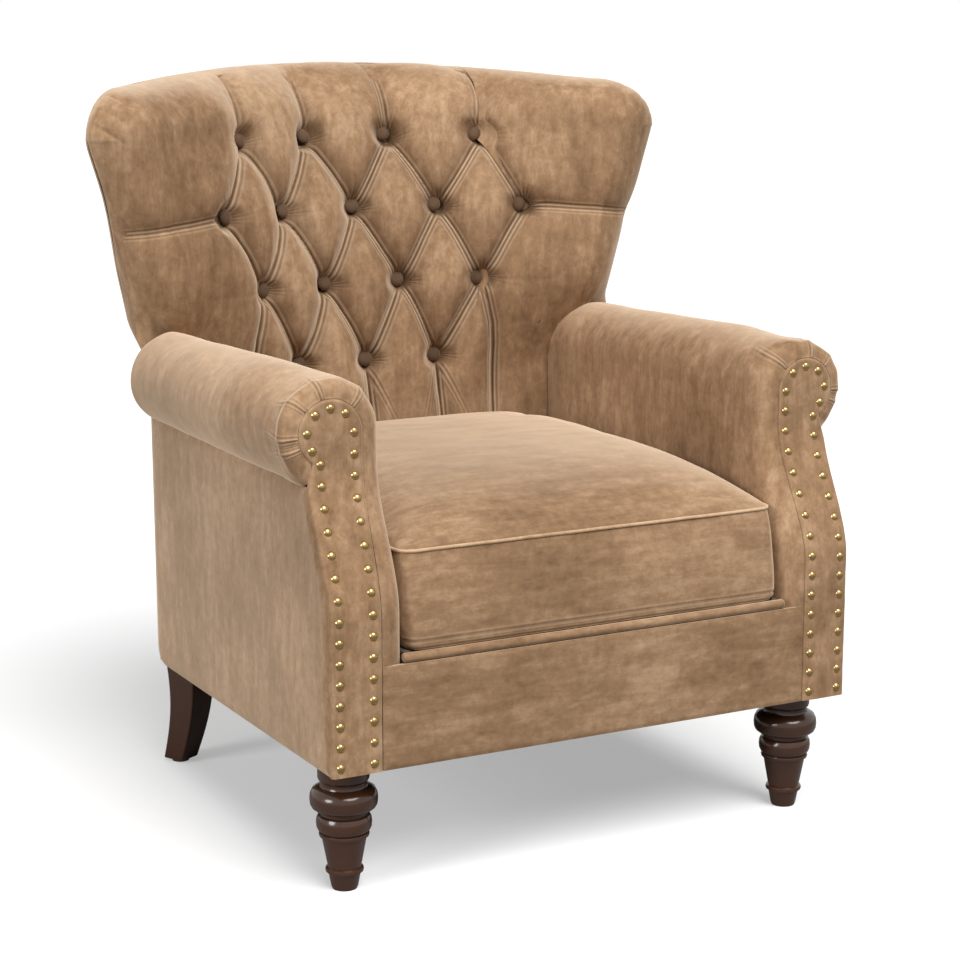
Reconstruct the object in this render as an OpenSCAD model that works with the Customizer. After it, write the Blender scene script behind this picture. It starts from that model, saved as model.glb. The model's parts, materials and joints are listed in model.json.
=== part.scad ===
// Upholstered wing armchair with a button tufted barrel back, rolled arms and a loose seat cushion.
// Millimetres, +Z up, the sitter faces -Y. The origin is on the floor, under the middle of the chair.
// Left and right are as seen from the front of the chair.

/* [Overall] */
// Width over the wings
overall_w = 880; // [840:5:920]
// Depth from the nail heads on the arm fronts to the outside back
overall_d = 850; // [820:5:890]
// Height of the middle of the top edge
overall_h = 975; // [940:5:1020]
// How far each wing sticks out past the outside arm panel
wing_flare = 68; // [55:1:80]
// Height of the underside of the body above the floor
leg_h = 165; // [130:5:200]
// Height of the deck under the cushion above the seat rails
deck_up = 45; // [42:1:55]

/* [Arms] */
// Radius of the rolled arm at its front
roll_r = 70; // [62:1:74]
// Radius of the rolled arm where it meets the wing
roll_rear_r = 61; // [56:1:66]
// Height of the middle of the arm roll above the deck
roll_up = 262; // [245:1:280]
// Drop of the middle of the roll from front to rear
roll_drop_h = 6; // [0:1:12]
// Distance from the outside arm panel in to the middle of the roll
roll_in = 31; // [27:1:34]
// How far the front of the arm is swept back at the top
sweep_d = 60; // [30:2:80]
// How far below the middle of the roll the sweep of the arm front starts
sweep_lo_drop = 218; // [200:1:235]
// How far below the middle of the roll the sweep of the arm front ends
sweep_hi_drop = 38; // [28:1:60]
// Radius of the round head of the arm facing
head_r = 42; // [38:1:44]
// Width of the arm facing at its foot
facing_w = 67; // [60:1:69]
// Width that the facing loses on the outside at its neck
neck_cut_w = 6; // [2:1:8]
// Thickness of the facing, board and cover together
facing_t = 6; // [4:0.5:8]
// Radius of the hollow in the arm padding that holds the frame
core_r = 38; // [34:1:40]
// Thickness of an outside panel, board and cover together
panel_t = 6; // [4:0.5:8]
// Depth of the soft rounding at the front of the arm
arm_round = 28; // [20:1:34]

/* [Back and wings] */
// Distance from the rearmost point to the pillows at the foot of the back
back_foot_in = 229; // [217:1:247]
// Straight part of the recline over the height of the body
recline_d = 90; // [60:2:110]
// Extra curl of the back near its top
back_curl_d = 85; // [60:1:95]
// Radius of the rounded edge and corners of the wings
wing_r = 68; // [55:1:75]
// Drop from the top edge to where the wings are widest
wing_top_drop = 85; // [70:1:105]
// Height of the foot of the wings above the middle of the arm roll
wing_foot_up = 48; // [37:1:62]
// Drop of the top edge from the middle to the corners
top_arch_h = 24; // [10:1:34]
// Distance from the rearmost point to the wing crest, low down
wing_low_in = 215; // [207:1:221]
// Distance from the rearmost point to the wing crest, high up
wing_high_in = 277; // [257:1:287]
// Distance from the rearmost point to the rear corner of the body at the base
corner_in = 259; // [252:1:272]
// How much further back the edge of the outside back lies at the foot of the wings
edge_step_d = 60; // [48:1:64]
// How far that edge comes forward again at the height of the wing crest
edge_return_d = 30; // [20:1:36]
// Thickness of the padding of the inside back
back_pad_t = 44; // [40:1:48]
// Thickness of the padding of the wings
wing_pad_t = 28; // [22:1:30]
// Thickness left at the sewn edge of a pad
pad_edge_t = 4; // [3:0.5:6]

/* [Tufting] */
// Drop from the top edge to the top row of buttons
button_top_drop = 102; // [95:1:115]
// Height of the bottom row of buttons above the deck
button_low_up = 244; // [234:1:254]
// Distance between buttons in the top row
button_pitch_top = 128; // [120:1:132]
// Distance between buttons in the bottom row
button_pitch_low = 110; // [104:1:116]
// Depth of a button pit below the pillows
tuft_depth = 31; // [24:1:33]
// Depth of a pleat between two buttons
pleat_depth = 13; // [8:1:16]
// Diameter of a covered button
button_d = 23; // [19:1:25]
// Thickness of a covered button
button_t = 8; // [6:0.5:10]

/* [Cushion] */
// Gap between the loose cushion and an arm
cushion_gap = 2; // [1:0.5:8]
// Distance from the front of the facings to the front of the cushion
cushion_set = 2; // [1:1:30]
// Height of the boxing of the cushion
boxing_h = 118; // [100:2:130]
// Height of the crown above the boxing
crown_h = 58; // [40:1:64]
// How far back the top front seam lies from the foot of the cushion
cushion_slope_d = 20; // [8:1:28]
// Corner radius of the cushion
cushion_corner_r = 22; // [16:1:30]
// Thickness of the cushion cover
cover_t = 3; // [2:0.5:4]
// Diameter of the welt on the top seam
welt_d = 4; // [3:0.5:5]
// Width of the zip tape
zip_w = 30; // [24:1:34]
// Distance from the side of the cushion to the end of the zip
zip_in = 39; // [34:1:70]

/* [Frame] */
// Thickness of the hardwood rails
rail_t = 28; // [24:1:32]
// Height of the seat rails
rail_h = 96; // [90:1:100]
// Thickness of the back posts across the chair
post_w = 30; // [26:1:34]
// Depth of the back posts
post_d = 30; // [24:1:32]
// Distance from the outside arm panel in to the inner face of a back post
post_in = 64; // [64:1:66]
// Thickness of the curved back rails
back_rail_t = 18; // [14:1:20]
// Height of the curved back rails
back_rail_h = 60; // [45:1:70]
// Thickness of the wing boards
wing_board_t = 9; // [7:1:10]
// Thickness of the spring wire
wire_d = 4; // [3.5:0.1:4.5]
// Width of a zigzag spring
spring_w = 48; // [42:1:54]

/* [Legs] */
// Largest diameter of a turned front leg
front_ring_d = 84; // [76:1:88]
// Diameter of the foot of a turned front leg
front_foot_d = 33; // [28:1:38]
// Width of a rear leg at its top
rear_top_w = 50; // [44:1:52]
// Width of a rear leg at its foot
rear_foot_w = 34; // [28:1:40]
// How far the foot of a rear leg stands outwards and backwards of its top
rear_splay_d = 22; // [14:1:28]
// Turn of a rear leg about its own axis
rear_turn = 27; // [20:1:34]

/* [Nails] */
// Diameter of a nail head
nail_d = 11; // [9:0.5:12]
// Height of a nail head
nail_h = 3; // [2.5:0.1:4]
// Distance between two nails of a row
nail_pitch = 25; // [23:0.5:30]
// Distance from the edge of the facing to the middle of a nail
nail_in = 11.5; // [9:0.5:13]

/* [Hidden] */
$fn = 48;

// Colours as the photograph shows them, and those of pieces that it hides
velvet = [0.66, 0.53, 0.41];
velvet_dark = [0.45, 0.35, 0.26];
walnut = [0.22, 0.13, 0.09];
beech = [0.80, 0.66, 0.46];
steel = [0.62, 0.63, 0.65];
brass = [0.76, 0.60, 0.33];
foam = [0.93, 0.90, 0.80];
cambric = [0.12, 0.12, 0.12];

// Clearances and small sizes that many pieces share
seat_gap = 0.3;
rim_gap = 0.8;
soft_gap = 3;
overrun = 5;
frame_gap = 5;
strap_t = 1.6;
frame_room = panel_t + frame_gap + post_d + strap_t + 6 * seat_gap;

// Main places. Depths count from front_y, the front of the facings.
front_y = nail_h - overall_d / 2;
rear_d = overall_d - nail_h;
half_wing = overall_w / 2;
half_body = half_wing - wing_flare;
axis_x = half_body - roll_in;
post_x = half_body - post_in;
base_rail_z = leg_h;
deck_h = base_rail_z + rail_h + deck_up;
roll_h = deck_h + roll_up;
wing_foot = roll_h + wing_foot_up;
wing_top = overall_h - wing_top_drop;
button_top = overall_h - button_top_drop;
button_low = deck_h + button_low_up;
back_foot = rear_d - back_foot_in;
wing_low_d = rear_d - wing_low_in;
wing_high_d = rear_d - wing_high_in;
corner_d = rear_d - corner_in;
cushion_w = 2 * (axis_x - roll_r - cushion_gap);
cushion_d = back_foot - cushion_set;
zip_l = cushion_w - 2 * zip_in;
full_turn = 360;

// Sweep of the arm fronts
sweep_lo = roll_h - sweep_lo_drop;
sweep_hi = roll_h - sweep_hi_drop;
sweep_steps = 18;

// Smooth rise from 0 at a to 1 at b
function rise(a, b, v) = let (t = max(0, min(1, (v - a) / (b - a)))) t * t * (3 - 2 * t);

// Place in y of the front of the facings at height z
function sweep_y(z) = front_y + sweep_d * rise(sweep_lo, sweep_hi, z);
sweep_zs = [for (i = [0:sweep_steps]) sweep_lo + (sweep_hi - sweep_lo) * i / sweep_steps];

// Faces of a closed sheet. Its front points are nr + 1 rows of nc + 1 points, with the outside on the
// side of (along the row) x (up the rows). Its rear points keep every m-th point of each row.
function sheet_faces(nc, nr, m) =
    let (
        nk = nc / m,
        base = (nr + 1) * (nc + 1),
        mid = ceil(m / 2),
        f = function (c, r) r * (nc + 1) + c,
        b = function (k, r) base + r * (nk + 1) + k
    )
    concat(
        [for (r = [0:nr - 1], c = [0:nc - 1]) each [
            [f(c, r), f(c, r + 1), f(c + 1, r + 1)],
            [f(c, r), f(c + 1, r + 1), f(c + 1, r)]
        ]],
        [for (r = [0:nr - 1], k = [0:nk - 1]) each [
            [b(k, r), b(k + 1, r), b(k + 1, r + 1)],
            [b(k, r), b(k + 1, r + 1), b(k, r + 1)]
        ]],
        [for (k = [0:nk - 1], i = [0:m - 1]) each [
            [f(k * m + i, 0), f(k * m + i + 1, 0), b(i < mid ? k : k + 1, 0)],
            [f(k * m + i + 1, nr), f(k * m + i, nr), b(i < mid ? k : k + 1, nr)]
        ]],
        [for (k = [0:nk - 1]) each [
            [b(k + 1, 0), b(k, 0), f(k * m + mid, 0)],
            [b(k, nr), b(k + 1, nr), f(k * m + mid, nr)]
        ]],
        [for (r = [0:nr - 1]) each [
            [f(0, r + 1), f(0, r), b(0, r)],
            [f(0, r + 1), b(0, r), b(0, r + 1)],
            [f(nc, r), f(nc, r + 1), b(nk, r + 1)],
            [f(nc, r), b(nk, r + 1), b(nk, r)]
        ]]
    );

// Closed sheet from a front and a rear function of column and row
module sheet(nc, nr, m, front, rear) {
    points = concat(
        [for (r = [0:nr], c = [0:nc]) front(c, r)],
        [for (r = [0:nr], k = [0:nc / m]) rear(k * m, r)]
    );
    polyhedron(points, sheet_faces(nc, nr, m), convexity = 6);
}

// Closed stack of loops, each with n points, that ends in a pole below and above
module loop_stack(loops, low_pole, high_pole) {
    n = len(loops[0]);
    k = len(loops);
    points = concat([for (l = loops) each l], [low_pole, high_pole]);
    polyhedron(points, concat(
        [for (r = [0:k - 2], c = [0:n - 1]) each [
            [r * n + c, (r + 1) * n + c, (r + 1) * n + (c + 1) % n],
            [r * n + c, (r + 1) * n + (c + 1) % n, r * n + (c + 1) % n]
        ]],
        [for (c = [0:n - 1]) each [
            [c, (c + 1) % n, k * n],
            [(k - 1) * n + (c + 1) % n, (k - 1) * n + c, k * n + 1]
        ]]
    ), convexity = 4);
}

module both_sides() {
    children();
    mirror([1, 0, 0]) children();
}

// Shape of the back
function share_up(z) = max(0, (z - leg_h) / (overall_h - leg_h));
curl_power = 5;
function crest_mid(z) = back_foot + recline_d * share_up(z) + back_curl_d * pow(share_up(z), curl_power);
wing_rise_lo = button_low - (button_low - deck_h) / 8;
wing_rise_hi = button_top - (button_top - button_low) * 0.53;
function crest_wing(z) = wing_low_d + (wing_high_d - wing_low_d) * rise(wing_rise_lo, wing_rise_hi, z);

// Half width of the back at height z: straight to the foot of the wings, then flaring to wing_top
flare_power = 1.25;
wing_lead = 30;
function half_w(z) = half_body + (half_wing - half_body)
    * pow(max(0, min(1, (z - wing_foot + wing_lead) / (wing_top - wing_foot + wing_lead))), flare_power);
function crest_x(z) = half_w(z) - wing_r;
function bow(t) = (t * t + pow(sin(90 * t), 2)) / 2;
function crest(x, z) =
    crest_mid(z) + (crest_wing(z) - crest_mid(z)) * bow(min(1, abs(x) / crest_x(z)));

// Rear edge of the body and wings, and the outside back
edge_lo = roll_h;
edge_full = wing_foot + wing_r / 3;
edge_mid = wing_foot + wing_r;
edge_hi = wing_top - wing_r;
function edge_d(z) = corner_d + edge_step_d * rise(edge_lo, edge_full, z)
    - edge_return_d * rise(edge_mid, edge_hi, z);
back_gap_foot = 80;
back_swell = 12;
function outside_mid(z) = let (t = share_up(z))
    min(rear_d, crest_mid(z) + back_gap_foot + back_swell * sin(180 * t)
        + (edge_room() - back_gap_foot) * pow(t, 8));
function edge_room() = rear_d - crest_mid(overall_h);
bow_power_base = 4;
bow_power_wing = 1.8;
function outside(x, z) =
    let (p = bow_power_base + (bow_power_wing - bow_power_base) * rise(wing_foot, button_top, z))
    outside_mid(z) + (edge_d(z) - outside_mid(z)) * pow(min(1, abs(x) / half_w(z)), p);

// Front of the padding without its tufts. It rolls back at the sides, top and corners to the rear edge.
function top_z(x) = overall_h - top_arch_h * pow(abs(x) / (half_wing - wing_r), 2);
function roll_share(x, z) =
    let (
        e = max(0, abs(x) - crest_x(z)),
        f = max(0, z - (min_top(x) - wing_r))
    )
    min(1, (e * e + f * f) / (wing_r * wing_r));
function min_top(x) = top_z(min(abs(x), half_wing - wing_r));
function behind(x, z) = outside(x, z) - panel_t - rim_gap;
function roll_edge(x, z) = behind(x, z) - pad_edge_t;
function plain_front(x, z) =
    let (s = roll_share(x, z))
    min(roll_edge(x, z), crest(x, z) + (roll_edge(x, z) - crest(x, z)) * (1 - sqrt(max(0, 1 - s))));
// Rear of a pad of thickness t: it leaves room for the frame, and ends thin at the sewn edge
function pad_rear(x, z, t, frame_x = 0) =
    let (f = plain_front(x, z), full = f + pad_edge_t + (t - pad_edge_t) * (1 - roll_share(x, z)))
    max(f + pad_edge_t, min(full, outside(max(abs(x), frame_x), z) - frame_room));
// Top of the outline at x, with the round corner
function outline_top(x) = let (e = max(0, abs(x) - (half_wing - wing_r)))
    min_top(x) - wing_r + sqrt(max(0, wing_r * wing_r - e * e));

// Tufting
// q counts half button pitches from the middle, and row counts button rows from the top one.
button_rows = 3;
function pitch(z) = button_pitch_low
    + (button_pitch_top - button_pitch_low) * (z - button_low) / (button_top - button_low);
// The rows grow further apart downwards, and the columns closer together outwards
row_stretch_share = 0.079;
column_pull_share = 0.003;
function row_z(r) = let (t = r / button_rows)
    button_top - (button_top - button_low) * t * (1 - row_stretch_share + row_stretch_share * t);
function column_x(q, z) = q * (1 - column_pull_share * q * q) * pitch(min(z, button_top)) / 2;
function fold_side(r) =
    r < 0 ? 3 : r < 1 ? 3 + r : r < 2 ? 5 - r : 3 + 0.45 * min(1, r - 2);
function puff(t) = pow(sin(90 * min(1, t)), 0.7);
function tuft_share(q, r) =
    let (
        rr = max(0, min(button_rows, r)),
        t1 = abs((q + rr + 10) % 2 - 1),
        t2 = abs((q - rr + 10) % 2 - 1),
        side = fold_side(r)
    )
    q > side ? puff((q - side) / 0.8) : min(puff(t1) * puff(t2), puff(side - q));
function is_button(q, r) = let (n = round(r))
    abs(r - n) < 0.01 && n >= 0 && n <= button_rows && abs(q - round(q)) < 0.01
    && (round(q) + n) % 2 == 1 && q <= [3, 4, 3, 2][n];
pit_depth = tuft_depth * 0.9;
function near_button(q, r) = abs(q - round(q)) < 1.1 / tuft_sub && is_button(round(q), r);
function tuft_cut(q, r, s) =
    (is_button(q, r) ? tuft_depth : near_button(q, r) ? pit_depth : pleat_depth * (1 - tuft_share(q, r)))
        * (1 - s);

// Inside back pad: rows follow the button rows, columns are a quarter of a half pitch
tuft_q = 4;
tuft_sub = 4;
pad_foot_gap = 2;
pad_low_z = deck_h + pad_foot_gap;
low_rows = 4;
top_rows = 5;
pad_rows = low_rows + button_rows * tuft_sub + top_rows;
function pad_z(r, x) =
    r <= low_rows ? pad_low_z + (button_low - pad_low_z) * r / low_rows
    : r <= low_rows + button_rows * tuft_sub ? row_z(button_rows - (r - low_rows) / tuft_sub)
    : button_top + (outline_top(x) - button_top) * sin(90 * (r - pad_rows + top_rows) / top_rows);
function pad_point(c, r, rear) =
    let (
        q = c / tuft_sub - tuft_q,
        x = column_x(q, r > pad_rows - top_rows ? button_top : pad_z(r, 0)),
        z = pad_z(r, x),
        cut = tuft_cut(abs(q), button_rows - (r - low_rows) / tuft_sub, roll_share(x, z))
    )
    [x, front_y + (rear ? pad_rear(x, z, back_pad_t) : plain_front(x, z) + cut), z];

module inside_back_pad() {
    color(velvet) sheet(2 * tuft_q * tuft_sub, pad_rows, tuft_sub,
        function (c, r) pad_point(c, r, false),
        function (c, r) pad_point(c, r, true));
}

// Wing pads reach from the edge of the inside back pad to the outline. Below the arm roll they are
// narrow and end behind the inner face of the arm.
low_wing_shares = [0, 0.15, 0.3, 0.4, 0.445];
high_wing_shares = [
    0.48, 0.53, 0.59, 0.645, 0.68, 0.706, 0.732, 0.765, 0.82, 0.875, 0.92, 0.955, 0.98, 0.994, 1
];
wing_shares = concat(low_wing_shares, high_wing_shares);
wing_col_shares = [0, 0.06, 0.14, 0.28, 0.48, 0.66, 0.8, 0.9, 0.97, 1];
narrow_x = axis_x - core_r - soft_gap;
wing_pleat_z = row_z(1);
wing_pleat_r = 13;
// Pit of the outer button of the second row, and the pleat that runs from it across the wing
function wing_cut(x, z) =
    let (
        d = norm([x - column_x(tuft_q, wing_pleat_z), z - wing_pleat_z]) / wing_pleat_r,
        p = abs(z - wing_pleat_z) / wing_pleat_r
    )
    max(tuft_depth * exp(-d * d / 4), pleat_depth * exp(-p * p)) * (1 - roll_share(x, z));
function wing_point(c, r, rear) =
    let (
        v = wing_shares[r],
        z_at = function (x) pad_low_z + (outline_top(x) - pad_low_z) * v,
        x0 = column_x(tuft_q, z_at(column_x(tuft_q, button_top))) + 3 * seat_gap,
        edge_at = function (x) half_w(min(wing_top, z_at(x))),
        x1 = v < high_wing_shares[0] ? narrow_x : edge_at(edge_at(half_wing - wing_r / 4)),
        x = x0 + (x1 - x0) * wing_col_shares[c],
        z = z_at(x),
        thick = v > high_wing_shares[0] ? wing_pad_t : pad_edge_t,
        d = rear ? pad_rear(x, z, thick, post_x + post_w) : plain_front(x, z) + wing_cut(x, z)
    )
    [x, front_y + d, z];

module wing_pad() {
    sheet(len(wing_col_shares) - 1, len(wing_shares) - 1, 1,
        function (c, r) wing_point(c, r, false),
        function (c, r) wing_point(c, r, true));
}
module right_wing_pad() { color(velvet) wing_pad(); }
module left_wing_pad() { color(velvet) mirror([1, 0, 0]) wing_pad(); }

// Outside back: a curved panel over the whole height, down to the underside of the body
outer_cols = 28;
outer_rows = 16;
function outer_point(c, r, push) =
    let (
        u = sin(90 * (2 * c / outer_cols - 1)),
        v = r / outer_rows,
        z_side = leg_h + (wing_top - leg_h) * v,
        x = half_w(z_side) * u,
        z = leg_h + (outline_top(x) - leg_h) * v
    )
    [x, front_y + outside(x, min(z, overall_h)) - push, z];
module outside_back_panel() {
    color(velvet) sheet(outer_cols, outer_rows, 1,
        function (c, r) outer_point(c, r, panel_t),
        function (c, r) outer_point(c, r, 0));
}

// Arm padding: a hook section that starts at the deck, rises, rolls over the frame and ends on the
// outside arm panel. Its front end is rounded and follows the sweep, its rear end meets the wing.
hook_steps = 12;
hook_low = hook_steps + 2;
hook_arc = 19;
hook_n = hook_low + hook_arc;
round_rings = 5;
arm_rings = round_rings + 4;
arm_low_z = base_rail_z + rail_h + seat_gap;
function low_z(i, s) =
    i == 0 ? arm_low_z + (deck_h + seat_gap - arm_low_z) * min(1, s * 1.25)
    : i == hook_low ? axis_z(s)
    : sweep_lo + (sweep_hi - sweep_lo) * (i - 1) / hook_steps;
function roll_at(s) = roll_r + (roll_rear_r - roll_r) * s;
function axis_z(s) = roll_h - roll_drop_h * s;
// Outer boundary of the hook at share s of the arm's length, drawn in by inset at the front
function hook_out(i, s, inset) =
    let (
        r = roll_at(s),
        z0 = axis_z(s),
        end = -acos(roll_in / r),
        a = 180 + (end - 180) * (i - hook_low) / hook_arc,
        fade = i <= hook_low ? 1 : rise(end, 0, a),
        rr = r - inset * fade
    )
    i <= hook_low ? [axis_x - r + inset, low_z(i, s)]
    : [axis_x + rr * cos(a), z0 + rr * sin(a)];
function hook_in(i, s) =
    let (
        z0 = axis_z(s),
        end = -acos((roll_in - panel_t - seat_gap) / core_r / (1 - core_taper_share * s)),
        a = 180 + (end - 180) * (i - hook_low) / hook_arc,
        core = core_r * (1 - core_taper_share * s * rise(-70, -10, -a))
    )
    i <= hook_low ? [axis_x - core, low_z(i, s)]
    : [axis_x + core * cos(a), z0 + core * sin(a)];
core_taper_share = 0.2;
round_share = [0, 0.04, 0.2, 0.52, 1];
inset_share = [1, 0.72, 0.36, 0.12, 0];
band_inset = roll_r - head_r;
function arm_front(z) = sweep_y(z) + facing_t + 2 * seat_gap;
roll_end_d = corner_d - panel_t - 2 * soft_gap;
function arm_rear(x, z) = front_y + min(plain_front(min(x, half_w(z)), z) - soft_gap,
    wing_low_d + (roll_end_d - wing_low_d) * rise(axis_x - roll_r, half_body, x),
    x < narrow_x ? overall_d : layer(post_x + post_w, z) - front_y - 3 * seat_gap);
function arm_point(i, r, inner) =
    let (
        s = r < round_rings ? 0 : (r - round_rings + 1) / (arm_rings - round_rings + 1),
        inset = r < round_rings ? band_inset * inset_share[r] : 0,
        p = inner ? hook_in(i, s) : hook_out(i, s, inset),
        y0 = arm_front(p[1]),
        y_round = y0 + arm_round * (r < round_rings ? round_share[r] : 1),
        y = y_round + (arm_rear(p[0], p[1]) - y_round) * s
    )
    [p[0], y, p[1]];
module arm_pad() {
    sheet(hook_n, arm_rings, 1,
        function (c, r) arm_point(c, r, false),
        function (c, r) arm_point(c, r, true));
}
module right_arm_pad() { color(velvet) arm_pad(); }
module left_arm_pad() { color(velvet) mirror([1, 0, 0]) arm_pad(); }

// Outline of the arm facing in x and z, seen from the front
facing_in_x = half_body - facing_w;
module facing_outline(inset) {
    translate([axis_x, roll_h]) circle(head_r - inset);
    polygon(concat(
        [[facing_in_x + inset, leg_h + inset], [half_body - inset, leg_h + inset]],
        [for (z = sweep_zs) [half_body - inset - neck_cut_w * rise(sweep_lo, sweep_hi, z), z]],
        [[half_body - inset - neck_cut_w, roll_h - head_r / 2], [axis_x, roll_h],
         [axis_x - head_r + inset, roll_h]],
        [for (i = [sweep_steps:-1:0]) [
            facing_in_x + inset + (axis_x - head_r - facing_in_x) * rise(sweep_lo, sweep_hi, sweep_zs[i]),
            sweep_zs[i]
        ]]
    ));
}

// Band in y and z that follows the sweep, from depth d0 to depth d1 behind the front
module sweep_band(d0, d1) {
    zs = concat([0], sweep_zs, [overall_h]);
    translate([half_body + overrun, 0, 0]) rotate([90, 0, -90])
        linear_extrude(height = half_body)
            mirror([1, 0]) polygon(concat(
                [for (z = zs) [sweep_y(z) + d0, z]],
                [for (i = [len(zs) - 1:-1:0]) [sweep_y(zs[i]) + d1, zs[i]]]
            ));
}
module swept_piece(inset, d0, d1) {
    intersection() {
        translate([0, front_y + overall_d / 2, 0]) rotate([90, 0, 0])
            linear_extrude(height = overall_d) facing_outline(inset);
        sweep_band(d0, d1);
    }
}
module right_arm_facing() { color(velvet) swept_piece(0, 0, facing_t); }
module left_arm_facing() { color(velvet) mirror([1, 0, 0]) swept_piece(0, 0, facing_t); }

// The arm posts stand behind the facings, inside the hollow of the arm padding
arm_post_inset = 7;
module arm_post() { swept_piece(arm_post_inset, facing_t, facing_t + rail_t); }
module right_arm_post() { color(beech) arm_post(); }
module left_arm_post() { color(beech) mirror([1, 0, 0]) arm_post(); }

// Depths of the seat frame and of the arm frame
post_back = facing_t + rail_t;
rear_rail_in = 16;
rear_rail_d = corner_d - rear_rail_in;
side_rail_x = half_body - panel_t - rail_t;

module box(x0, x1, y0, y1, z0, z1) {
    translate([x0, y0, z0]) cube([x1 - x0, y1 - y0, z1 - z0]);
}

module front_seat_rail() {
    x = facing_in_x + arm_post_inset - seat_gap;
    y = front_y + panel_t;
    color(beech) box(-x, x, y, y + rail_t, base_rail_z, base_rail_z + rail_h);
}
module back_seat_rail() {
    color(beech) box(seat_gap - post_x, post_x - seat_gap, front_y + rear_rail_d,
        front_y + rear_rail_d + rail_t, base_rail_z, base_rail_z + rail_h);
}
module seat_rail() {
    box(side_rail_x, side_rail_x + rail_t, front_y + post_back, front_y + corner_d,
        base_rail_z, base_rail_z + rail_h);
}
module right_seat_rail() { color(beech) seat_rail(); }
module left_seat_rail() { color(beech) mirror([1, 0, 0]) seat_rail(); }

// Glued blocks in the four corners of the seat frame
block_leg = 52;
block_h = 40;
module corner_block(x, y, turn) {
    translate([x, y, base_rail_z]) rotate([0, 0, turn])
        linear_extrude(height = block_h) polygon([[0, 0], [block_leg, 0], [0, block_leg]]);
}
module corner_blocks() {
    color(beech) both_sides() {
        corner_block(side_rail_x, front_y + post_back, 90);
        corner_block(side_rail_x, front_y + rear_rail_d, 180);
    }
}

// Boards of the arm frame, inside the hollow of the arm padding
top_board_w = 34;
top_board_t = 20;
module arm_top_board() {
    z = roll_h - roll_drop_h - core_r / 2;
    box(axis_x - top_board_w / 2, axis_x + top_board_w / 2, sweep_y(z) + post_back + overrun,
        layer(post_x + post_w, z) + 2 * seat_gap, z, z + top_board_t);
}
module right_arm_top_board() { color(beech) arm_top_board(); }
module left_arm_top_board() { color(beech) mirror([1, 0, 0]) arm_top_board(); }
tacking_h = 45;
module tacking_rail() {
    box(side_rail_x, side_rail_x + rail_t, front_y + post_back + seat_gap, front_y + corner_d,
        deck_h, deck_h + tacking_h);
}
module right_tacking_rail() { color(beech) tacking_rail(); }
module left_tacking_rail() { color(beech) mirror([1, 0, 0]) tacking_rail(); }

// Back posts, curved back rails and wing boards lie in one layer along the outside back
post_rows = 14;
post_top_z = button_top + back_rail_h / 2;
function layer(x, z) = front_y + outside(x, z) - panel_t - frame_gap - post_d;
module back_post() {
    x1 = post_x + post_w;
    z_at = function (r) base_rail_z + (post_top_z - base_rail_z) * r / post_rows;
    sheet(1, post_rows, 1,
        function (c, r) [post_x + post_w * c, layer(x1, z_at(r)), z_at(r)],
        function (c, r) [post_x + post_w * c, layer(x1, z_at(r)) + post_d, z_at(r)]);
}
module right_back_post() { color(beech) back_post(); }
module left_back_post() { color(beech) mirror([1, 0, 0]) back_post(); }

curved_cols = 24;
middle_rail_z = (button_top + button_low) / 2;
lower_rail_h = 44;
lower_rail_z = deck_h - 2 * seat_gap - lower_rail_h / 2;
module curved_rail(z, h) {
    z_at = function (r) z + h * (r - 0.5);
    x_at = function (c) (post_x - seat_gap) * (2 * c / curved_cols - 1);
    sheet(curved_cols, 1, 1,
        function (c, r) [x_at(c), layer(x_at(c), z_at(r)), z_at(r)],
        function (c, r) [x_at(c), layer(x_at(c), z_at(r)) + back_rail_t, z_at(r)]);
}
module back_top_rail() { color(beech) curved_rail(button_top, back_rail_h); }
module back_middle_rail() { color(beech) curved_rail(middle_rail_z, back_rail_h); }
module back_lower_rail() { color(beech) curved_rail(lower_rail_z, lower_rail_h); }

// Plywood boards that carry the wings
wing_board_in = 30;
wing_board_low = wing_foot + wing_board_in;
wing_board_rows = 6;
module wing_board() {
    top = wing_top - wing_board_in;
    z_at = function (r) wing_board_low + (top - wing_board_low) * r / wing_board_rows;
    x0 = post_x + post_w;
    x_at = function (c, z) x0 + seat_gap + (half_w(z) - wing_board_in - x0 - seat_gap) * c / 2;
    d_at = function (x, z) front_y + behind(x, z) - frame_gap - wing_board_t;
    sheet(2, wing_board_rows, 1,
        function (c, r) let (z = z_at(r), x = x_at(c, z)) [x, d_at(x, z), z],
        function (c, r) let (z = z_at(r), x = x_at(c, z)) [x, d_at(x, z) + wing_board_t, z]);
}
module right_wing_board() { color(beech) wing_board(); }
module left_wing_board() { color(beech) mirror([1, 0, 0]) wing_board(); }

// Zigzag seat springs between the front and the back rail, held in clips
spring_count = 5;
deck_x = axis_x - roll_r - seat_gap;
spring_pitch = 2 * deck_x / (spring_count + 0.5);
spring_loops = 14;
loop_points = 4;
wire_sides = 6;
clip_w = 16;
clip_t = 2;
clip_l = 18;
spring_z = base_rail_z + rail_h + clip_t + wire_d / 2 + seat_gap;
spring_y0 = front_y + panel_t + rail_t / 2;
spring_y1 = front_y + rear_rail_d + rail_t / 2;
function zigzag(t) = let (a = t * spring_loops * 180)
    [spring_w / 2 * sin(a), spring_y0 + (spring_y1 - spring_y0) * t + wire_d * 2 * sin(2 * a), spring_z];
module zigzag_spring(x) {
    n = spring_loops * loop_points;
    path = [for (i = [0:n]) zigzag(i / n)];
    loops = [for (i = [0:n])
        let (
            a = path[max(0, i - 1)],
            b = path[min(n, i + 1)],
            d = (b - a) / norm(b - a),
            side = [d[1], -d[0], 0]
        )
        [for (k = [0:wire_sides - 1]) let (w = full_turn * k / wire_sides)
            path[i] + wire_d / 2 * (side * cos(w) + [0, 0, 1] * sin(w))]
    ];
    translate([x, 0, 0]) loop_stack(loops, path[0], path[n]);
}
function spring_x(i) = (i - (spring_count - 1) / 2) * spring_pitch;
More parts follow.
